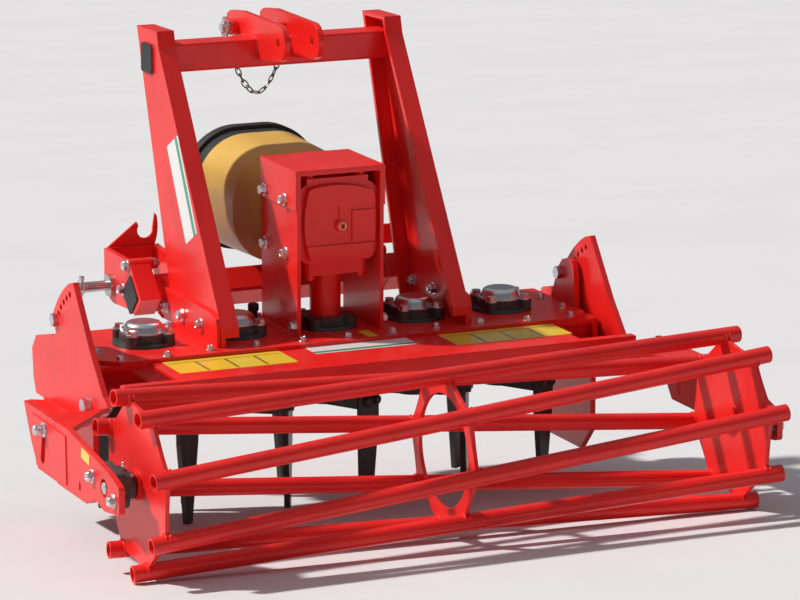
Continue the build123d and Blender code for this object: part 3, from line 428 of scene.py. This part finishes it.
def seam(corners, radius, rows=56, sides=8, up=(1.0, 0.0, 0.0), ripple=5.0):
    """A weld bead along a run of corners: its radius at length s is r(1 + 0.16 sin(2 pi s / ripple))."""
    corners = np.asarray(corners, float)
    far = np.concatenate([[0], np.cumsum(np.linalg.norm(np.diff(corners, axis=0), axis=1))])
    s = np.linspace(0, far[-1], rows)
    path = np.stack([np.interp(s, far, corners[:, i]) for i in range(3)], 1)
    ends = np.clip(np.minimum(s, far[-1] - s) / (1.5 * radius) + 0.35, 0, 1)
    return swept(path, radius * ends * (1 + 0.16 * np.sin(2 * np.pi * s / ripple)), sides, up=up)[0]


def sheet_plate(centre, along, across, half, thickness, roundness=36.0, sides=64):
    """A thin label: the rim is the superellipse x = a sgn(cos t)|cos t|^(2/n), y likewise with sin."""
    along, across = np.asarray(along, float), np.asarray(across, float)
    normal = np.cross(along, across)
    t = (np.arange(sides) + 0.5) * 2 * np.pi / sides
    x = half[0] * np.sign(np.cos(t)) * np.abs(np.cos(t)) ** (2 / roundness)
    y = half[1] * np.sign(np.sin(t)) * np.abs(np.sin(t)) ** (2 / roundness)
    scale = np.array([0.0, 1.0, 1.0, 0.0])
    lift = np.array([0.0, 0.0, thickness, thickness])
    rim = along * x[:, None] + across * y[:, None]
    rows = rim[None] * scale[:, None, None] + normal * lift[:, None, None]
    return parked(np.asarray(centre, float) + rows)[None]


def lying(along, across):
    """Turn that lays a label's own x and y along two directions of the level machine."""
    columns = [turned(along), turned(across), turned(np.cross(along, across))]
    return Matrix(np.column_stack(columns).tolist()).to_euler()


def hex_bolt(key, height, washer=1.35, washer_height=2.0):
    """Profile of a bolt head on its washer, from the seat to the chamfered top."""
    flat = key / 2
    return [(0, 0, 0), (0, flat * washer, 0), (washer_height * 0.8, flat * washer, 0),
            (washer_height, flat * washer * 0.97, 0), (washer_height, flat * 0.98, 1),
            (washer_height + height * 0.82, flat, 1), (washer_height + height, flat * 0.95, 0),
            (washer_height + height, flat * 0.62, 0), (washer_height + height * 0.93, flat * 0.55, 0),
            (washer_height + height * 0.93, 0, 0)]


def hex_nut(key, height, stud, stub, washer=1.35, washer_height=2.0):
    """Profile of a nut on its washer with the end of its stud standing out of it."""
    flat = key / 2
    top = washer_height + height
    return [(0, 0, 0), (0, flat * washer, 0), (washer_height, flat * washer, 0),
            (washer_height, flat * 0.98, 1), (washer_height + height * 0.15, flat, 1),
            (top - height * 0.18, flat, 1), (top, flat * 0.95, 0), (top, stud, 0),
            (top + stub * 0.8, stud, 0), (top + stub, stud * 0.8, 0), (top + stub, 0, 0)]


def slot_bolt(key):
    """Profile of the bolt in the arm's slot: washer, nut, a bare piece of shank and the head."""
    flat = key / 2
    return [(0, 0, 0), (0, flat * 1.6, 0), (2.5, flat * 1.6, 0), (2.6, flat * 0.98, 1), (9.5, flat, 1),
            (10.5, flat * 0.9, 0), (10.5, 6.0, 0), (13.5, 6.0, 0), (13.5, flat * 0.9, 0), (14.5, flat, 1),
            (20.5, flat, 1), (22.0, flat * 0.92, 0), (22.0, 0, 0)]


# Limits that every size in millimetres shares
MM = dict(min=0.0, soft_max=500.0)


class FinishSettings(bpy.types.PropertyGroup):
    """Colours and finish of the harrow's surfaces."""

    red: FloatVectorProperty(name="Red paint", description="Signal red powder coat", subtype="COLOR",
                             size=3, default=(0.84, 0.018, 0.014), min=0.0, max=1.0)
    red_deep: FloatVectorProperty(name="Red shade", description="Thicker red paint", subtype="COLOR",
                                  size=3, default=(0.74, 0.013, 0.011), min=0.0, max=1.0)
    guard: FloatVectorProperty(name="Guard", description="Yellow shaft guard", subtype="COLOR",
                               size=3, default=(0.66, 0.42, 0.085), min=0.0, max=1.0)
    # Painted shade of the guard: the darker brown that its lower part turns to.
    guard_painted_shade: FloatVectorProperty(name="Guard stain", description="Soil stain on the guard",
                                     subtype="COLOR", size=3, default=(0.36, 0.21, 0.06), min=0.0, max=1.0)
    black: FloatVectorProperty(name="Castings", description="Black paint on castings and tines",
                               subtype="COLOR", size=3, default=(0.024, 0.030, 0.029), min=0.0, max=1.0)
    coat_roughness: FloatProperty(name="Gloss", description="Roughness of the clear top of the paint",
                                  default=0.10, min=0.0, max=1.0)
    edge_radius: FloatProperty(name="Edges", description="Rounding of painted edges in mm", default=1.4,
                               min=0.0, max=5.0)
    dust: FloatProperty(name="Dust", description="Film of dust on upward faces", default=0.06, min=0.0,
                        max=1.0)


class FastenerSettings(bpy.types.PropertyGroup):
    """Sizes of the visible fasteners."""

    cover_key: FloatProperty(name="Cover bolts", description="Width across flats in mm", default=13.0, **MM)
    frame_key: FloatProperty(name="Frame bolts", description="Width across flats in mm", default=18.0, **MM)
    arm_key: FloatProperty(name="Arm bolts", description="Width across flats in mm", default=19.0, **MM)
    tine_key: FloatProperty(name="Tine bolts", description="Width across flats in mm", default=17.0, **MM)
    chain_wire: FloatProperty(name="Chain wire", description="Wire of the pin chain in mm", default=3.0, **MM)
    chain_links: IntProperty(name="Links", description="Links of the pin chain", default=19, min=3, max=40)
    seam_size: FloatProperty(name="Weld beads", description="Radius of the beads in mm", default=3.0, **MM)


class LabelSettings(bpy.types.PropertyGroup):
    """Colours of the plain stickers."""

    yellow: FloatVectorProperty(name="Yellow", description="Sticker yellow", subtype="COLOR", size=3,
                                default=(0.86, 0.62, 0.045), min=0.0, max=1.0)
    white: FloatVectorProperty(name="White", description="Plate white", subtype="COLOR", size=3,
                               default=(0.80, 0.82, 0.81), min=0.0, max=1.0)
    green: FloatVectorProperty(name="Green", description="Band on the white plates", subtype="COLOR", size=3,
                               default=(0.012, 0.27, 0.15), min=0.0, max=1.0)


class StageSettings(bpy.types.PropertyGroup):
    """Camera and light."""

    distance: FloatProperty(name="Distance", description="Camera distance", default=8.9237, unit="LENGTH")
    lens: FloatProperty(name="Lens", description="Focal length in mm", default=193.5, min=20.0, max=400.0)
    key_light: FloatProperty(name="Key light", description="Strength of the sun lamp", default=3.8, min=0.0)
    key_width: FloatProperty(name="Softness", description="Angle that the sun lamp fills", subtype="ANGLE",
                             default=math.radians(3.0), min=0.0, max=math.pi)
    sky_light: FloatProperty(name="Sky", description="Strength of the light from all round", default=1.0,
                             min=0.0)
    floor: FloatVectorProperty(name="Floor", description="Pale floor", subtype="COLOR", size=3,
                               default=(0.70, 0.70, 0.71), min=0.0, max=1.0)


def material(name):
    """A finish made by the first operator."""
    return bpy.data.materials[name]


class HARROW_OT_finishes(bpy.types.Operator):
    """Makes the finishes and paints every piece of the frame with its own"""

    bl_idname = "harrow.finishes"
    bl_label = "Paint and castings"

    def execute(self, context):
        s = context.scene.harrow_finish
        powder_coat("red_powder_coat", tuple(s.red), tuple(s.red_deep), 0.34, 0.22, 0.0005, s)
        cast_iron("black_casting", tuple(s.black), 0.5, s)
        cast_iron("tine_black", tuple(c * 0.8 for c in s.black), 0.46, s)
        plated_steel("zinc_plating", (0.66, 0.70, 0.78), (0.74, 0.70, 0.60), 0.3)
        turned_steel("pin_steel", (0.60, 0.58, 0.57), 0.27, "X")
        turned_steel("shaft_steel", (0.52, 0.51, 0.50), 0.32, "Y")
        # The guard's lower part gets painted shade in a darker brown.
        guard_with_painted_shade("guard_plastic", tuple(s.guard), tuple(s.guard_painted_shade), tuple(s.black),
                      GUARD_BAND_Y / 1000, 0.42)
        plated_steel("chain_steel", (0.20, 0.20, 0.21), (0.12, 0.11, 0.10), 0.38)
        plated_steel("brass", (0.66, 0.50, 0.24), (0.55, 0.40, 0.20), 0.3)
        moulded("black_rubber", (0.017, 0.017, 0.018), (0.03, 0.03, 0.032), 0.5, 700.0, 0.0003)
        finishes = {"red_paint": "red_powder_coat", "black_paint": "black_casting",
                    "black_plastic": "black_rubber", "zinc": "zinc_plating",
                    "bright_steel": "shaft_steel", "guard_yellow": "guard_plastic"}
        special = {"lower_pin_left": "pin_steel", "lower_pin_right": "pin_steel"}
        special.update({"rotor_tines_%d" % (i + 1): "tine_black" for i in range(ROTOR_COUNT)})
        slots = {p["node"]: p["material_slot"] for p in frame["record"]["subparts"]}
        for name, node in frame["nodes"].items():
            chosen = material(special.get(name) or finishes[slots[name]])
            node.data.materials.clear()
            node.data.materials.append(chosen)
        return {"FINISHED"}


class HARROW_OT_cover_bolts(bpy.types.Operator):
    """Flanged bolts round the edge of the cover"""

    bl_idname = "harrow.cover_bolts"
    bl_label = "Cover bolts"

    def execute(self, context):
        key = context.scene.harrow_fasteners.cover_key
        x = np.arange(-500, 501, 100.0)
        y = np.where(np.abs(x) > 350, 130.0, 118.0) - np.where(np.abs(np.abs(x) - 250) < 60, 5.0, 0.0)
        ends = np.array([[-520, -52], [-520, 52], [520, -52], [520, 52]], float)
        plan = np.concatenate([np.stack([x, -y], 1), np.stack([x, y], 1), ends])
        count = len(plan)
        spots = np.column_stack([plan, np.full(count, COVER_TOP)])
        turned_piece("cover_bolts", spots, [UPWARD] * count, hex_bolt(key, 7.5, 1.45), "zinc_plating",
                     turns=np.arange(count) * 0.7)
        return {"FINISHED"}


class HARROW_OT_frame_bolts(bpy.types.Operator):
    """Bolts of the mast feet, the gearbox and its bracket, and the hitch"""

    bl_idname = "harrow.frame_bolts"
    bl_label = "Frame bolts"

    def execute(self, context):
        key = context.scene.harrow_fasteners.frame_key
        # The y and z of each foot bolt with the x of its nut, on the left and on the right
        feet = {-1: [(172, 339, 275), (83, 340, 267), (-20, 341, 267)],
                1: [(144, 354, 267), (43, 355, 267), (-58, 352, 267)]}
        # The y, z and x of the bolts in each side of the gearbox bracket
        plates = [(86, 587, 99), (-20, 585, 99), (87, 475, 96), (-19, 473, 96), (-66, 330, 96)]
        heads, nuts = [], []
        for side in (-1, 1):
            heads += [(side * FOOT_FACE_X, y, z) for y, z, _ in feet[side]]
            heads += [(side * x, y, z) for y, z, x in plates] + [(side * CLAMP_FACE_X, 262, 362)]
            nuts += [(side * x, y, z) for y, z, x in feet[side]]
        turns = np.arange(len(heads)) * 0.55
        turned_piece("frame_bolts", heads, sideways(heads), hex_bolt(key, 10.0, 1.5), "zinc_plating",
                     turns=turns)
        turned_piece("frame_nuts", nuts, sideways(nuts, -1), hex_nut(key, 9.0, 5.5, 5.0, 1.4),
                     "zinc_plating", turns=turns[:len(nuts)])
        heads, nuts = pair(CLAMP_FACE_X, 235, 418), pair(290, 235, 418)
        turned_piece("clamp_bolt_heads", heads, sideways(heads), hex_bolt(20, 9.0, 1.2),
                     "zinc_plating")
        turned_piece("clamp_nuts", nuts, sideways(nuts, -1), hex_nut(20, 9.0, 6, 5, 1.2),
                     "zinc_plating")
        top = [(x, y, 632) for x in (-56, 56) for y in (-48, 76)]
        foot = [(x, y, 430) for x in (-56, 56) for y in (-52, 52)]
        turned_piece("gearbox_bolts", top + foot, [UPWARD] * 4 + [(0, 0, -1)] * 4, hex_bolt(17, 8.0, 1.25),
                     "red_powder_coat", turns=np.arange(8) * 0.6)
        return {"FINISHED"}


class HARROW_OT_fittings(bpy.types.Operator):
    """Ring of the level plug, breathers, grease nipples and the collars on the roller's axle"""

    bl_idname = "harrow.fittings"
    bl_label = "Plugs and nipples"

    def execute(self, context):
        ring = [(0, 5.2, 0), (2.0, 5.2, 0), (2.6, 6.2, 0), (2.6, 7.6, 0), (1.6, 8.4, 0), (0, 8.4, 0)]
        turned_piece("level_plug_ring", [(3, -82, 533)], [(0, -1, 0)], ring, "brass", sides=32)
        knob = [(0, 0, 0), (0, 12, 0), (2.5, 12, 0), (3.5, 8.5, 0), (26, 8.5, 0), (27, 10.5, 0),
                (29, 11.5, 0), (40, 11.5, 0), (42, 10.5, 0), (43, 9.0, 0), (43, 0, 0)]
        turned_piece("breathers", pair(131, 70, COVER_TOP), [UPWARD] * 2, knob,
                     "black_rubber", sides=36)
        nipple = [(0, 0, 0), (0, 5.0, 1), (3.0, 5.0, 1), (3.2, 3.0, 0), (7.0, 2.4, 0), (8.0, 3.1, 0),
                  (10.0, 3.1, 0), (11.0, 1.8, 0), (11.0, 0, 0)]
        turned_piece("bearing_nipples", pair(672, ROLLER_Y - 10, ROLLER_Z + 40), [(0, -0.17, 0.98)] * 2,
                     nipple, "zinc_plating", "roller_frame")
        collar = [(0, 15.5, 0), (0, 25, 0), (1.5, 26, 0), (12, 26, 0), (13, 24.5, 0), (13, 15.5, 0)]
        spots = pair(664, ROLLER_Y, ROLLER_Z)
        turned_piece("axle_collars", spots, sideways(spots, -1), collar, "black_casting",
                     "roller", sides=40)
        screw = [(0, 0, 0), (0, 4.0, 0), (3.0, 4.0, 0), (3.0, 2.2, 1), (1.0, 2.2, 1), (1.0, 0, 0)]
        turned_piece("collar_screws", pair(657, ROLLER_Y - 14, ROLLER_Z + 22), [(0, -0.54, 0.84)] * 2, screw,
                     "zinc_plating", "roller")
        return {"FINISHED"}


class HARROW_OT_arm_bolts(bpy.types.Operator):
    """Bolts of the roller's bearings, of the slots and of the roller's axle"""

    bl_idname = "harrow.arm_bolts"
    bl_label = "Arm bolts"

    def execute(self, context):
        key = context.scene.harrow_fasteners.arm_key
        spots = [(side * ARM_FACE_X, y, z) for side in (-1, 1) for y, z in ((-526, 193), (-641, 173))]
        turned_piece("arm_bolts", spots, sideways(spots), hex_bolt(key, 10.0, 1.5, 3.0), "zinc_plating",
                     "roller_frame", turns=np.arange(4) * 0.8)
        spots = pair(709, -263, 222)
        turned_piece("slot_bolts", spots, sideways(spots), slot_bolt(key), "zinc_plating",
                     "roller_frame", turns=0.3)
        spots = pair(700, ROLLER_Y, ROLLER_Z)
        turned_piece("axle_bolts", spots, sideways(spots), hex_bolt(22, 6.0, 1.2), "zinc_plating",
                     "roller", turns=0.2)
        return {"FINISHED"}


class HARROW_OT_tine_bolts(bpy.types.Operator):
    """Bolts that hold the tines on each rotor"""

    bl_idname = "harrow.tine_bolts"
    bl_label = "Tine bolts"

    def execute(self, context):
        key = context.scene.harrow_fasteners.tine_key
        for index in range(ROTOR_COUNT):
            angle = math.radians(-58.0 if index % 2 == 0 else -32.0)
            middle = np.array([(index - ROTOR_COUNT // 2) * ROTOR_PITCH, 0, TINE_BOLT_HEIGHT])
            spots, away = [], []
            for turn in (angle, angle + math.pi):
                out = np.array([math.cos(turn), math.sin(turn), 0])
                for offset in (-16, 16):
                    side = np.array([-out[1], out[0], 0]) * offset
                    spots.append(middle + out * TINE_BOLT_RADIUS + side)
                    away.append(out)
            turned_piece("tine_bolts_%d" % (index + 1), spots, away, hex_bolt(key, 8.0, 1.3),
                         "black_casting", "rotor_%d" % (index + 1), turns=0.4)
        return {"FINISHED"}


class HARROW_OT_welds(bpy.types.Operator):
    """Weld beads of the frame, the arms and the roller"""

    bl_idname = "harrow.welds"
    bl_label = "Weld beads"

    def execute(self, context):
        r = context.scene.harrow_fasteners.seam_size
        paint = material("red_powder_coat")
        rows = []
        for x in (-44, -32, 32, 44):
            rows.append(seam([(x, 255, 829), (x, 255, 871), (x, 315, 871), (x, 315, 849)], r))
        for side in (-1, 1):
            rows.append(seam([(side * 96, -78, COVER_TOP), (side * 96, 106, COVER_TOP)], r))
            for x in (side * FOOT_FACE_X, side * MAST_FACE_X):
                rows.append(seam([(x, 189, 311), (x, 214, 317), (x, 173, 359)], r))
            x = side * 223
            rows.append(seam([(x, 215, 316.6), (x, 172.6, 359), (x, 215, 401.4)], r))
            rows.append(seam([(side * MAST_FACE_X, 255, 811), (side * MAST_FACE_X, 255, 871)], 0.8 * r))
        make_piece("frame_welds", parked(np.stack(rows)), paint, "harrow_frame")
        rows = []
        for side in (-1, 1):
            x = side * 580
            rows.append(seam([(x, 98, 190), (x, -122, 190)], 1.2 * r))
            rows.append(seam([(x, -126, 191), (x, -260, 249)], 1.2 * r))
            x = side * 695
            rows.append(seam([(x, -178, 212), (x, -262, 242), (x, -384, 242)], r))
        make_piece("arm_welds", parked(np.stack(rows)), paint, "roller_frame")
        turn = np.radians(FIRST_TUBE_DEG + 360.0 / TUBE_COUNT * np.arange(TUBE_COUNT))
        twist = math.radians(TWIST_DEG)
        left = TUBE_CIRCLE * np.stack([np.cos(turn), np.sin(turn)], 1)
        right = TUBE_CIRCLE * np.stack([np.cos(turn - twist), np.sin(turn - twist)], 1)
        rows = []
        bead_circle = 17.4
        sweep = np.linspace(-1.75, 1.75, 18)
        far = np.full(len(sweep), 0.5)
        for x in (-DISC_X, 0, DISC_X):
            for face in (-1, 1):
                at = x + face * DISC_HALF
                middle = left + (right - left) * (at / TUBE_SPAN + 0.5)
                inward = np.arctan2(-middle[:, 1], -middle[:, 0])
                for (y, z), way in zip(middle, inward):
                    path = np.stack([at + face * far, ROLLER_Y + y + bead_circle * np.cos(way + sweep),
                                     ROLLER_Z + z + bead_circle * np.sin(way + sweep)], 1)
                    rows.append(seam(path, 0.95 * r, 28, 6, ripple=4.2))
        make_piece("roller_welds", parked(np.stack(rows)), paint, "roller")
        return {"FINISHED"}


class HARROW_OT_linch_pins(bpy.types.Operator):
    """Linch pins at the ends of the hitch pins: a shank through the pin and a spring ring round it"""

    bl_idname = "harrow.linch_pins"
    bl_label = "Linch pins"

    def execute(self, context):
        t = np.linspace(0, 2 * np.pi, 44, endpoint=False)
        thick, ring_wire = 3.4, 1.6
        upright = np.array([[0.0, 0.0, 1.0]])
        # Each pin's middle and how far it reaches up and down from there
        ends = [((-411, 330, 357), 17.0), ((411, 330, 357), 17.0), ((-70, 368, 880), 15.0)]
        shanks, heads, rings = [], [], []
        for spot, reach in ends:
            spot = np.array(spot, float)
            for group, low, high, radius, sides in ((shanks, -reach, reach, thick, 12),
                                                    (heads, reach - 1, reach + 7, thick * 1.7, 14)):
                run = np.linspace(low, high, 12)[:, None]
                group.append(swept(spot + upright * run, radius, sides, up=(1.0, 0.0, 0.0))[0])
            lean = 0.22 * reach * (1 - np.cos(t)) * np.sign(spot[0])
            path = spot + np.stack([lean * 0.5, (reach + 2) * np.sin(t), (reach + 4) * np.cos(t)], 1)
            rings.append(swept(path, ring_wire, 8, True, up=(1.0, 0.0, 0.0))[0])
        zinc = material("zinc_plating")
        make_piece("linch_shanks", parked(np.stack(shanks)), zinc, "harrow_frame")
        make_piece("linch_heads", parked(np.stack(heads)), zinc, "harrow_frame")
        make_piece("linch_rings", parked(np.stack(rings)), zinc, "harrow_frame", wrap_rows=True)
        return {"FINISHED"}


class HARROW_OT_chain(bpy.types.Operator):
    """Chain that keeps the top link pin: oval links on a hanging parabola, every other one turned"""

    bl_idname = "harrow.chain"
    bl_label = "Pin chain"

    def execute(self, context):
        s = context.scene.harrow_fasteners
        count = s.chain_links
        left, right, middle, forward, lowest, sag = -72.0, 66.0, 2.0, 368.0, 737.0, 0.0262
        x = np.linspace(left, right, 240)
        path = np.stack([x, np.full(len(x), forward), lowest + sag * (x - middle) ** 2], 1)
        steps = np.concatenate([[0], np.cumsum(np.linalg.norm(np.diff(path, axis=0), axis=1))])
        at = (np.arange(count) + 0.5) * steps[-1] / count
        spot, before, after = (np.stack([np.interp(at + step, steps, path[:, i]) for i in range(3)], 1)
                               for step in (0, -2, 2))
        number = np.arange(count)
        turns = np.where(number % 2 == 0, 0.55, 0.55 + np.pi / 2) + 0.35 * np.sin(number * 2.3)
        ahead, wide, normal = side_vectors(after - before, turns)
        t = np.linspace(0, 2 * np.pi, 28, endpoint=False)[None, :, None]
        q = np.linspace(0, 2 * np.pi, 8, endpoint=False)[None, None, :, None]
        wire, half_width = s.chain_wire / 2, 5.6
        half_length = steps[-1] / count * 0.5 + s.chain_wire * 0.95
        ahead, wide = ahead[:, None], wide[:, None]
        ring = ahead * (half_length * np.cos(t)) + wide * (half_width * np.sin(t))
        out = ahead * (np.cos(t) * half_width) + wide * (np.sin(t) * half_length)
        out /= np.linalg.norm(out, axis=2, keepdims=True)
        rim = out[:, :, None] * (wire * np.cos(q)) + normal[:, None, None] * (wire * np.sin(q))
        points = spot[:, None, None] + ring[:, :, None] + rim
        make_piece("pin_chain", parked(points), material("chain_steel"), "harrow_frame",
                   wrap_rows=True)
        return {"FINISHED"}


class HARROW_OT_labels(bpy.types.Operator):
    """Plain yellow stickers and white plates with a green band, all without signs or lettering"""

    bl_idname = "harrow.labels"
    bl_label = "Stickers"

    def execute(self, context):
        s = context.scene.harrow_labels
        ink = (0.03, 0.03, 0.03)
        yellow, white, green = tuple(s.yellow), tuple(s.white), tuple(s.green)
        # Each sticker's middle, half sizes, number of fields and the share of its height above their line
        strips = {"left": ((-291.0, -197.0, LEDGE_TOP), (126, 52), 4, 0.2),
                  "right": ((318.0, -195.0, LEDGE_TOP), (130, 50), 4, 0.2),
                  "cover": ((49.0, -107.0, COVER_TOP), (11, 27), 0, 0.0)}
        flat = (1, 0, 0), (0, 1, 0)
        for name, (centre, half, fields, head) in strips.items():
            label = label_sheet("yellow_sticker_" + name, parked(centre), [h * 0.002 for h in half], yellow,
                                ink, fields, head, lying(*flat))
            make_piece("yellow_sticker_" + name, sheet_plate(centre, *flat, half, 0.5), label,
                       "harrow_frame")
        leg = (0.0, 0.4875, 0.8731), (0.0, 0.8731, -0.4875)
        # Each plate's middle, its two directions and its half sizes
        plates = {"deck_plate": ((6.0, -171.0, LEDGE_TOP), flat, (112, 31)),
                  "mast_plate_left": ((-MAST_FACE_X, 100.0, 597.0), leg, (106, 35))}
        for name, (centre, ways, half) in plates.items():
            label = two_tone(name + "_print", parked(centre), half[1] * 0.002, white, green, lying(*ways))
            make_piece(name, sheet_plate(centre, *ways, half, 0.6), label, "harrow_frame")
        arm = (0.0, -0.99, -0.14), (0.0, -0.14, 0.99)
        centre, half = (-ARM_FACE_X, -488.0, 222.0), (22, 10)
        label = label_sheet("yellow_sticker_arm", parked(centre), [h * 0.002 for h in half], yellow, ink, 1,
                            0.5, lying(*arm))
        make_piece("yellow_sticker_arm", sheet_plate(centre, *arm, half, 0.5), label, "roller_frame")
        return {"FINISHED"}


class HARROW_OT_stage(bpy.types.Operator):
    """Pale floor, soft light and the camera of the photograph"""

    bl_idname = "harrow.stage"
    bl_label = "Floor, light and camera"

    def execute(self, context):
        s = context.scene.harrow_stage
        scene = context.scene
        corners = ((-1, -1), (1, -1), (1, 1), (-1, 1))
        mesh = bpy.data.meshes.new("floor")
        mesh.from_pydata([(x * FLOOR_HALF, y * FLOOR_HALF, 0) for x, y in corners], [], [(0, 1, 2, 3)])
        pale = tuple(s.floor)
        sheet = Sheet("floor_screed", pale, 0.75, specular=0.2)
        cloud = sheet.noise(1.1, 6.0, 0.62)
        sheet.set("Base Color", sheet.mix(cloud.ramp(0.3, 0.75), pale, tuple(c * 0.95 for c in pale)))
        sheet.set("Normal", sheet.bump(sheet.noise(60.0, 5.0), 0.001, 0.3))
        mesh.materials.append(sheet.material)
        floor = bpy.data.objects.new("floor", mesh)
        scene.collection.objects.link(floor)

        world = bpy.data.worlds.new("sky_fill")
        world.use_nodes = True
        tree = world.node_tree
        background = tree.nodes["Background"]
        spot = tree.nodes.new("ShaderNodeTexCoord")
        parts = tree.nodes.new("ShaderNodeSeparateXYZ")
        ramp = tree.nodes.new("ShaderNodeValToRGB")
        # Share of the height of the sky's sphere and the colour there, from the ground up
        stops = ((0.08, (0.40, 0.41, 0.42)), (0.17, (0.10, 0.105, 0.11)), (0.42, (0.11, 0.115, 0.125)),
                 (0.62, (0.33, 0.345, 0.375)))
        for _ in stops[2:]:
            ramp.color_ramp.elements.new(0.5)
        for element, (place, colour) in zip(ramp.color_ramp.elements, stops):
            element.position = place
            element.color = (*colour, 1.0)
        tree.links.new(spot.outputs["Generated"], parts.inputs[0])
        tree.links.new(parts.outputs[2], ramp.inputs[0])
        tree.links.new(ramp.outputs[0], background.inputs[0])
        background.inputs[1].default_value = s.sky_light
        scene.world = world

        lamp = bpy.data.lights.new("key", "SUN")
        lamp.energy = s.key_light
        lamp.angle = s.key_width
        lamp.color = (1.0, 0.965, 0.92)
        holder = bpy.data.objects.new("key", lamp)
        holder.location = (-3.0, 3.0, 5.0)
        holder.rotation_euler = Vector(turned(SUNBEAM)).to_track_quat("-Z", "Y").to_euler()
        scene.collection.objects.link(holder)

        ways = [turned(way) for way in (CAMERA_RIGHT, CAMERA_UP, CAMERA_BACK)]
        spot = parked(CAMERA_TARGET) + ways[2] * s.distance
        camera = bpy.data.cameras.new("photo_camera")
        camera.lens = s.lens
        camera.sensor_width = 36.0
        camera.clip_end = 200.0
        holder = bpy.data.objects.new("photo_camera", camera)
        stand = np.vstack([np.column_stack([*ways, spot]), [0, 0, 0, 1]])
        holder.matrix_world = Matrix(stand.tolist())
        scene.collection.objects.link(holder)
        scene.camera = holder
        scene.view_settings.view_transform = "Standard"
        return {"FINISHED"}


class HARROW_PT_panel(bpy.types.Panel):
    """Sidebar panel with the steps that dress the harrow"""

    bl_label = "Power harrow"
    bl_space_type = "VIEW_3D"
    bl_region_type = "UI"
    bl_category = "Harrow"

    def draw(self, context):
        for group in ("harrow_finish", "harrow_fasteners", "harrow_labels", "harrow_stage"):
            settings = getattr(context.scene, group)
            box = self.layout.box()
            for prop in settings.bl_rna.properties.keys():
                if prop not in ("rna_type", "name"):
                    box.prop(settings, prop)
        for step in STEPS:
            self.layout.operator(step.bl_idname)


STEPS = (HARROW_OT_finishes, HARROW_OT_cover_bolts, HARROW_OT_frame_bolts, HARROW_OT_fittings,
         HARROW_OT_arm_bolts, HARROW_OT_tine_bolts, HARROW_OT_welds, HARROW_OT_linch_pins, HARROW_OT_chain,
         HARROW_OT_labels, HARROW_OT_stage)
CLASSES = (FinishSettings, FastenerSettings, LabelSettings, StageSettings, *STEPS, HARROW_PT_panel)


def register():
    for cls in CLASSES:
        bpy.utils.register_class(cls)
    bpy.types.Scene.harrow_finish = PointerProperty(type=FinishSettings)
    bpy.types.Scene.harrow_fasteners = PointerProperty(type=FastenerSettings)
    bpy.types.Scene.harrow_labels = PointerProperty(type=LabelSettings)
    bpy.types.Scene.harrow_stage = PointerProperty(type=StageSettings)


def unregister():
    del bpy.types.Scene.harrow_finish
    del bpy.types.Scene.harrow_fasteners
    del bpy.types.Scene.harrow_labels
    del bpy.types.Scene.harrow_stage
    for cls in reversed(CLASSES):
        bpy.utils.unregister_class(cls)


def main():
    register()
    for step in STEPS:
        group, name = step.bl_idname.split(".")
        if getattr(getattr(bpy.ops, group), name)() != {"FINISHED"}:
            raise RuntimeError(step.bl_idname + " didn't finish")


if __name__ == "__main__":
    main()
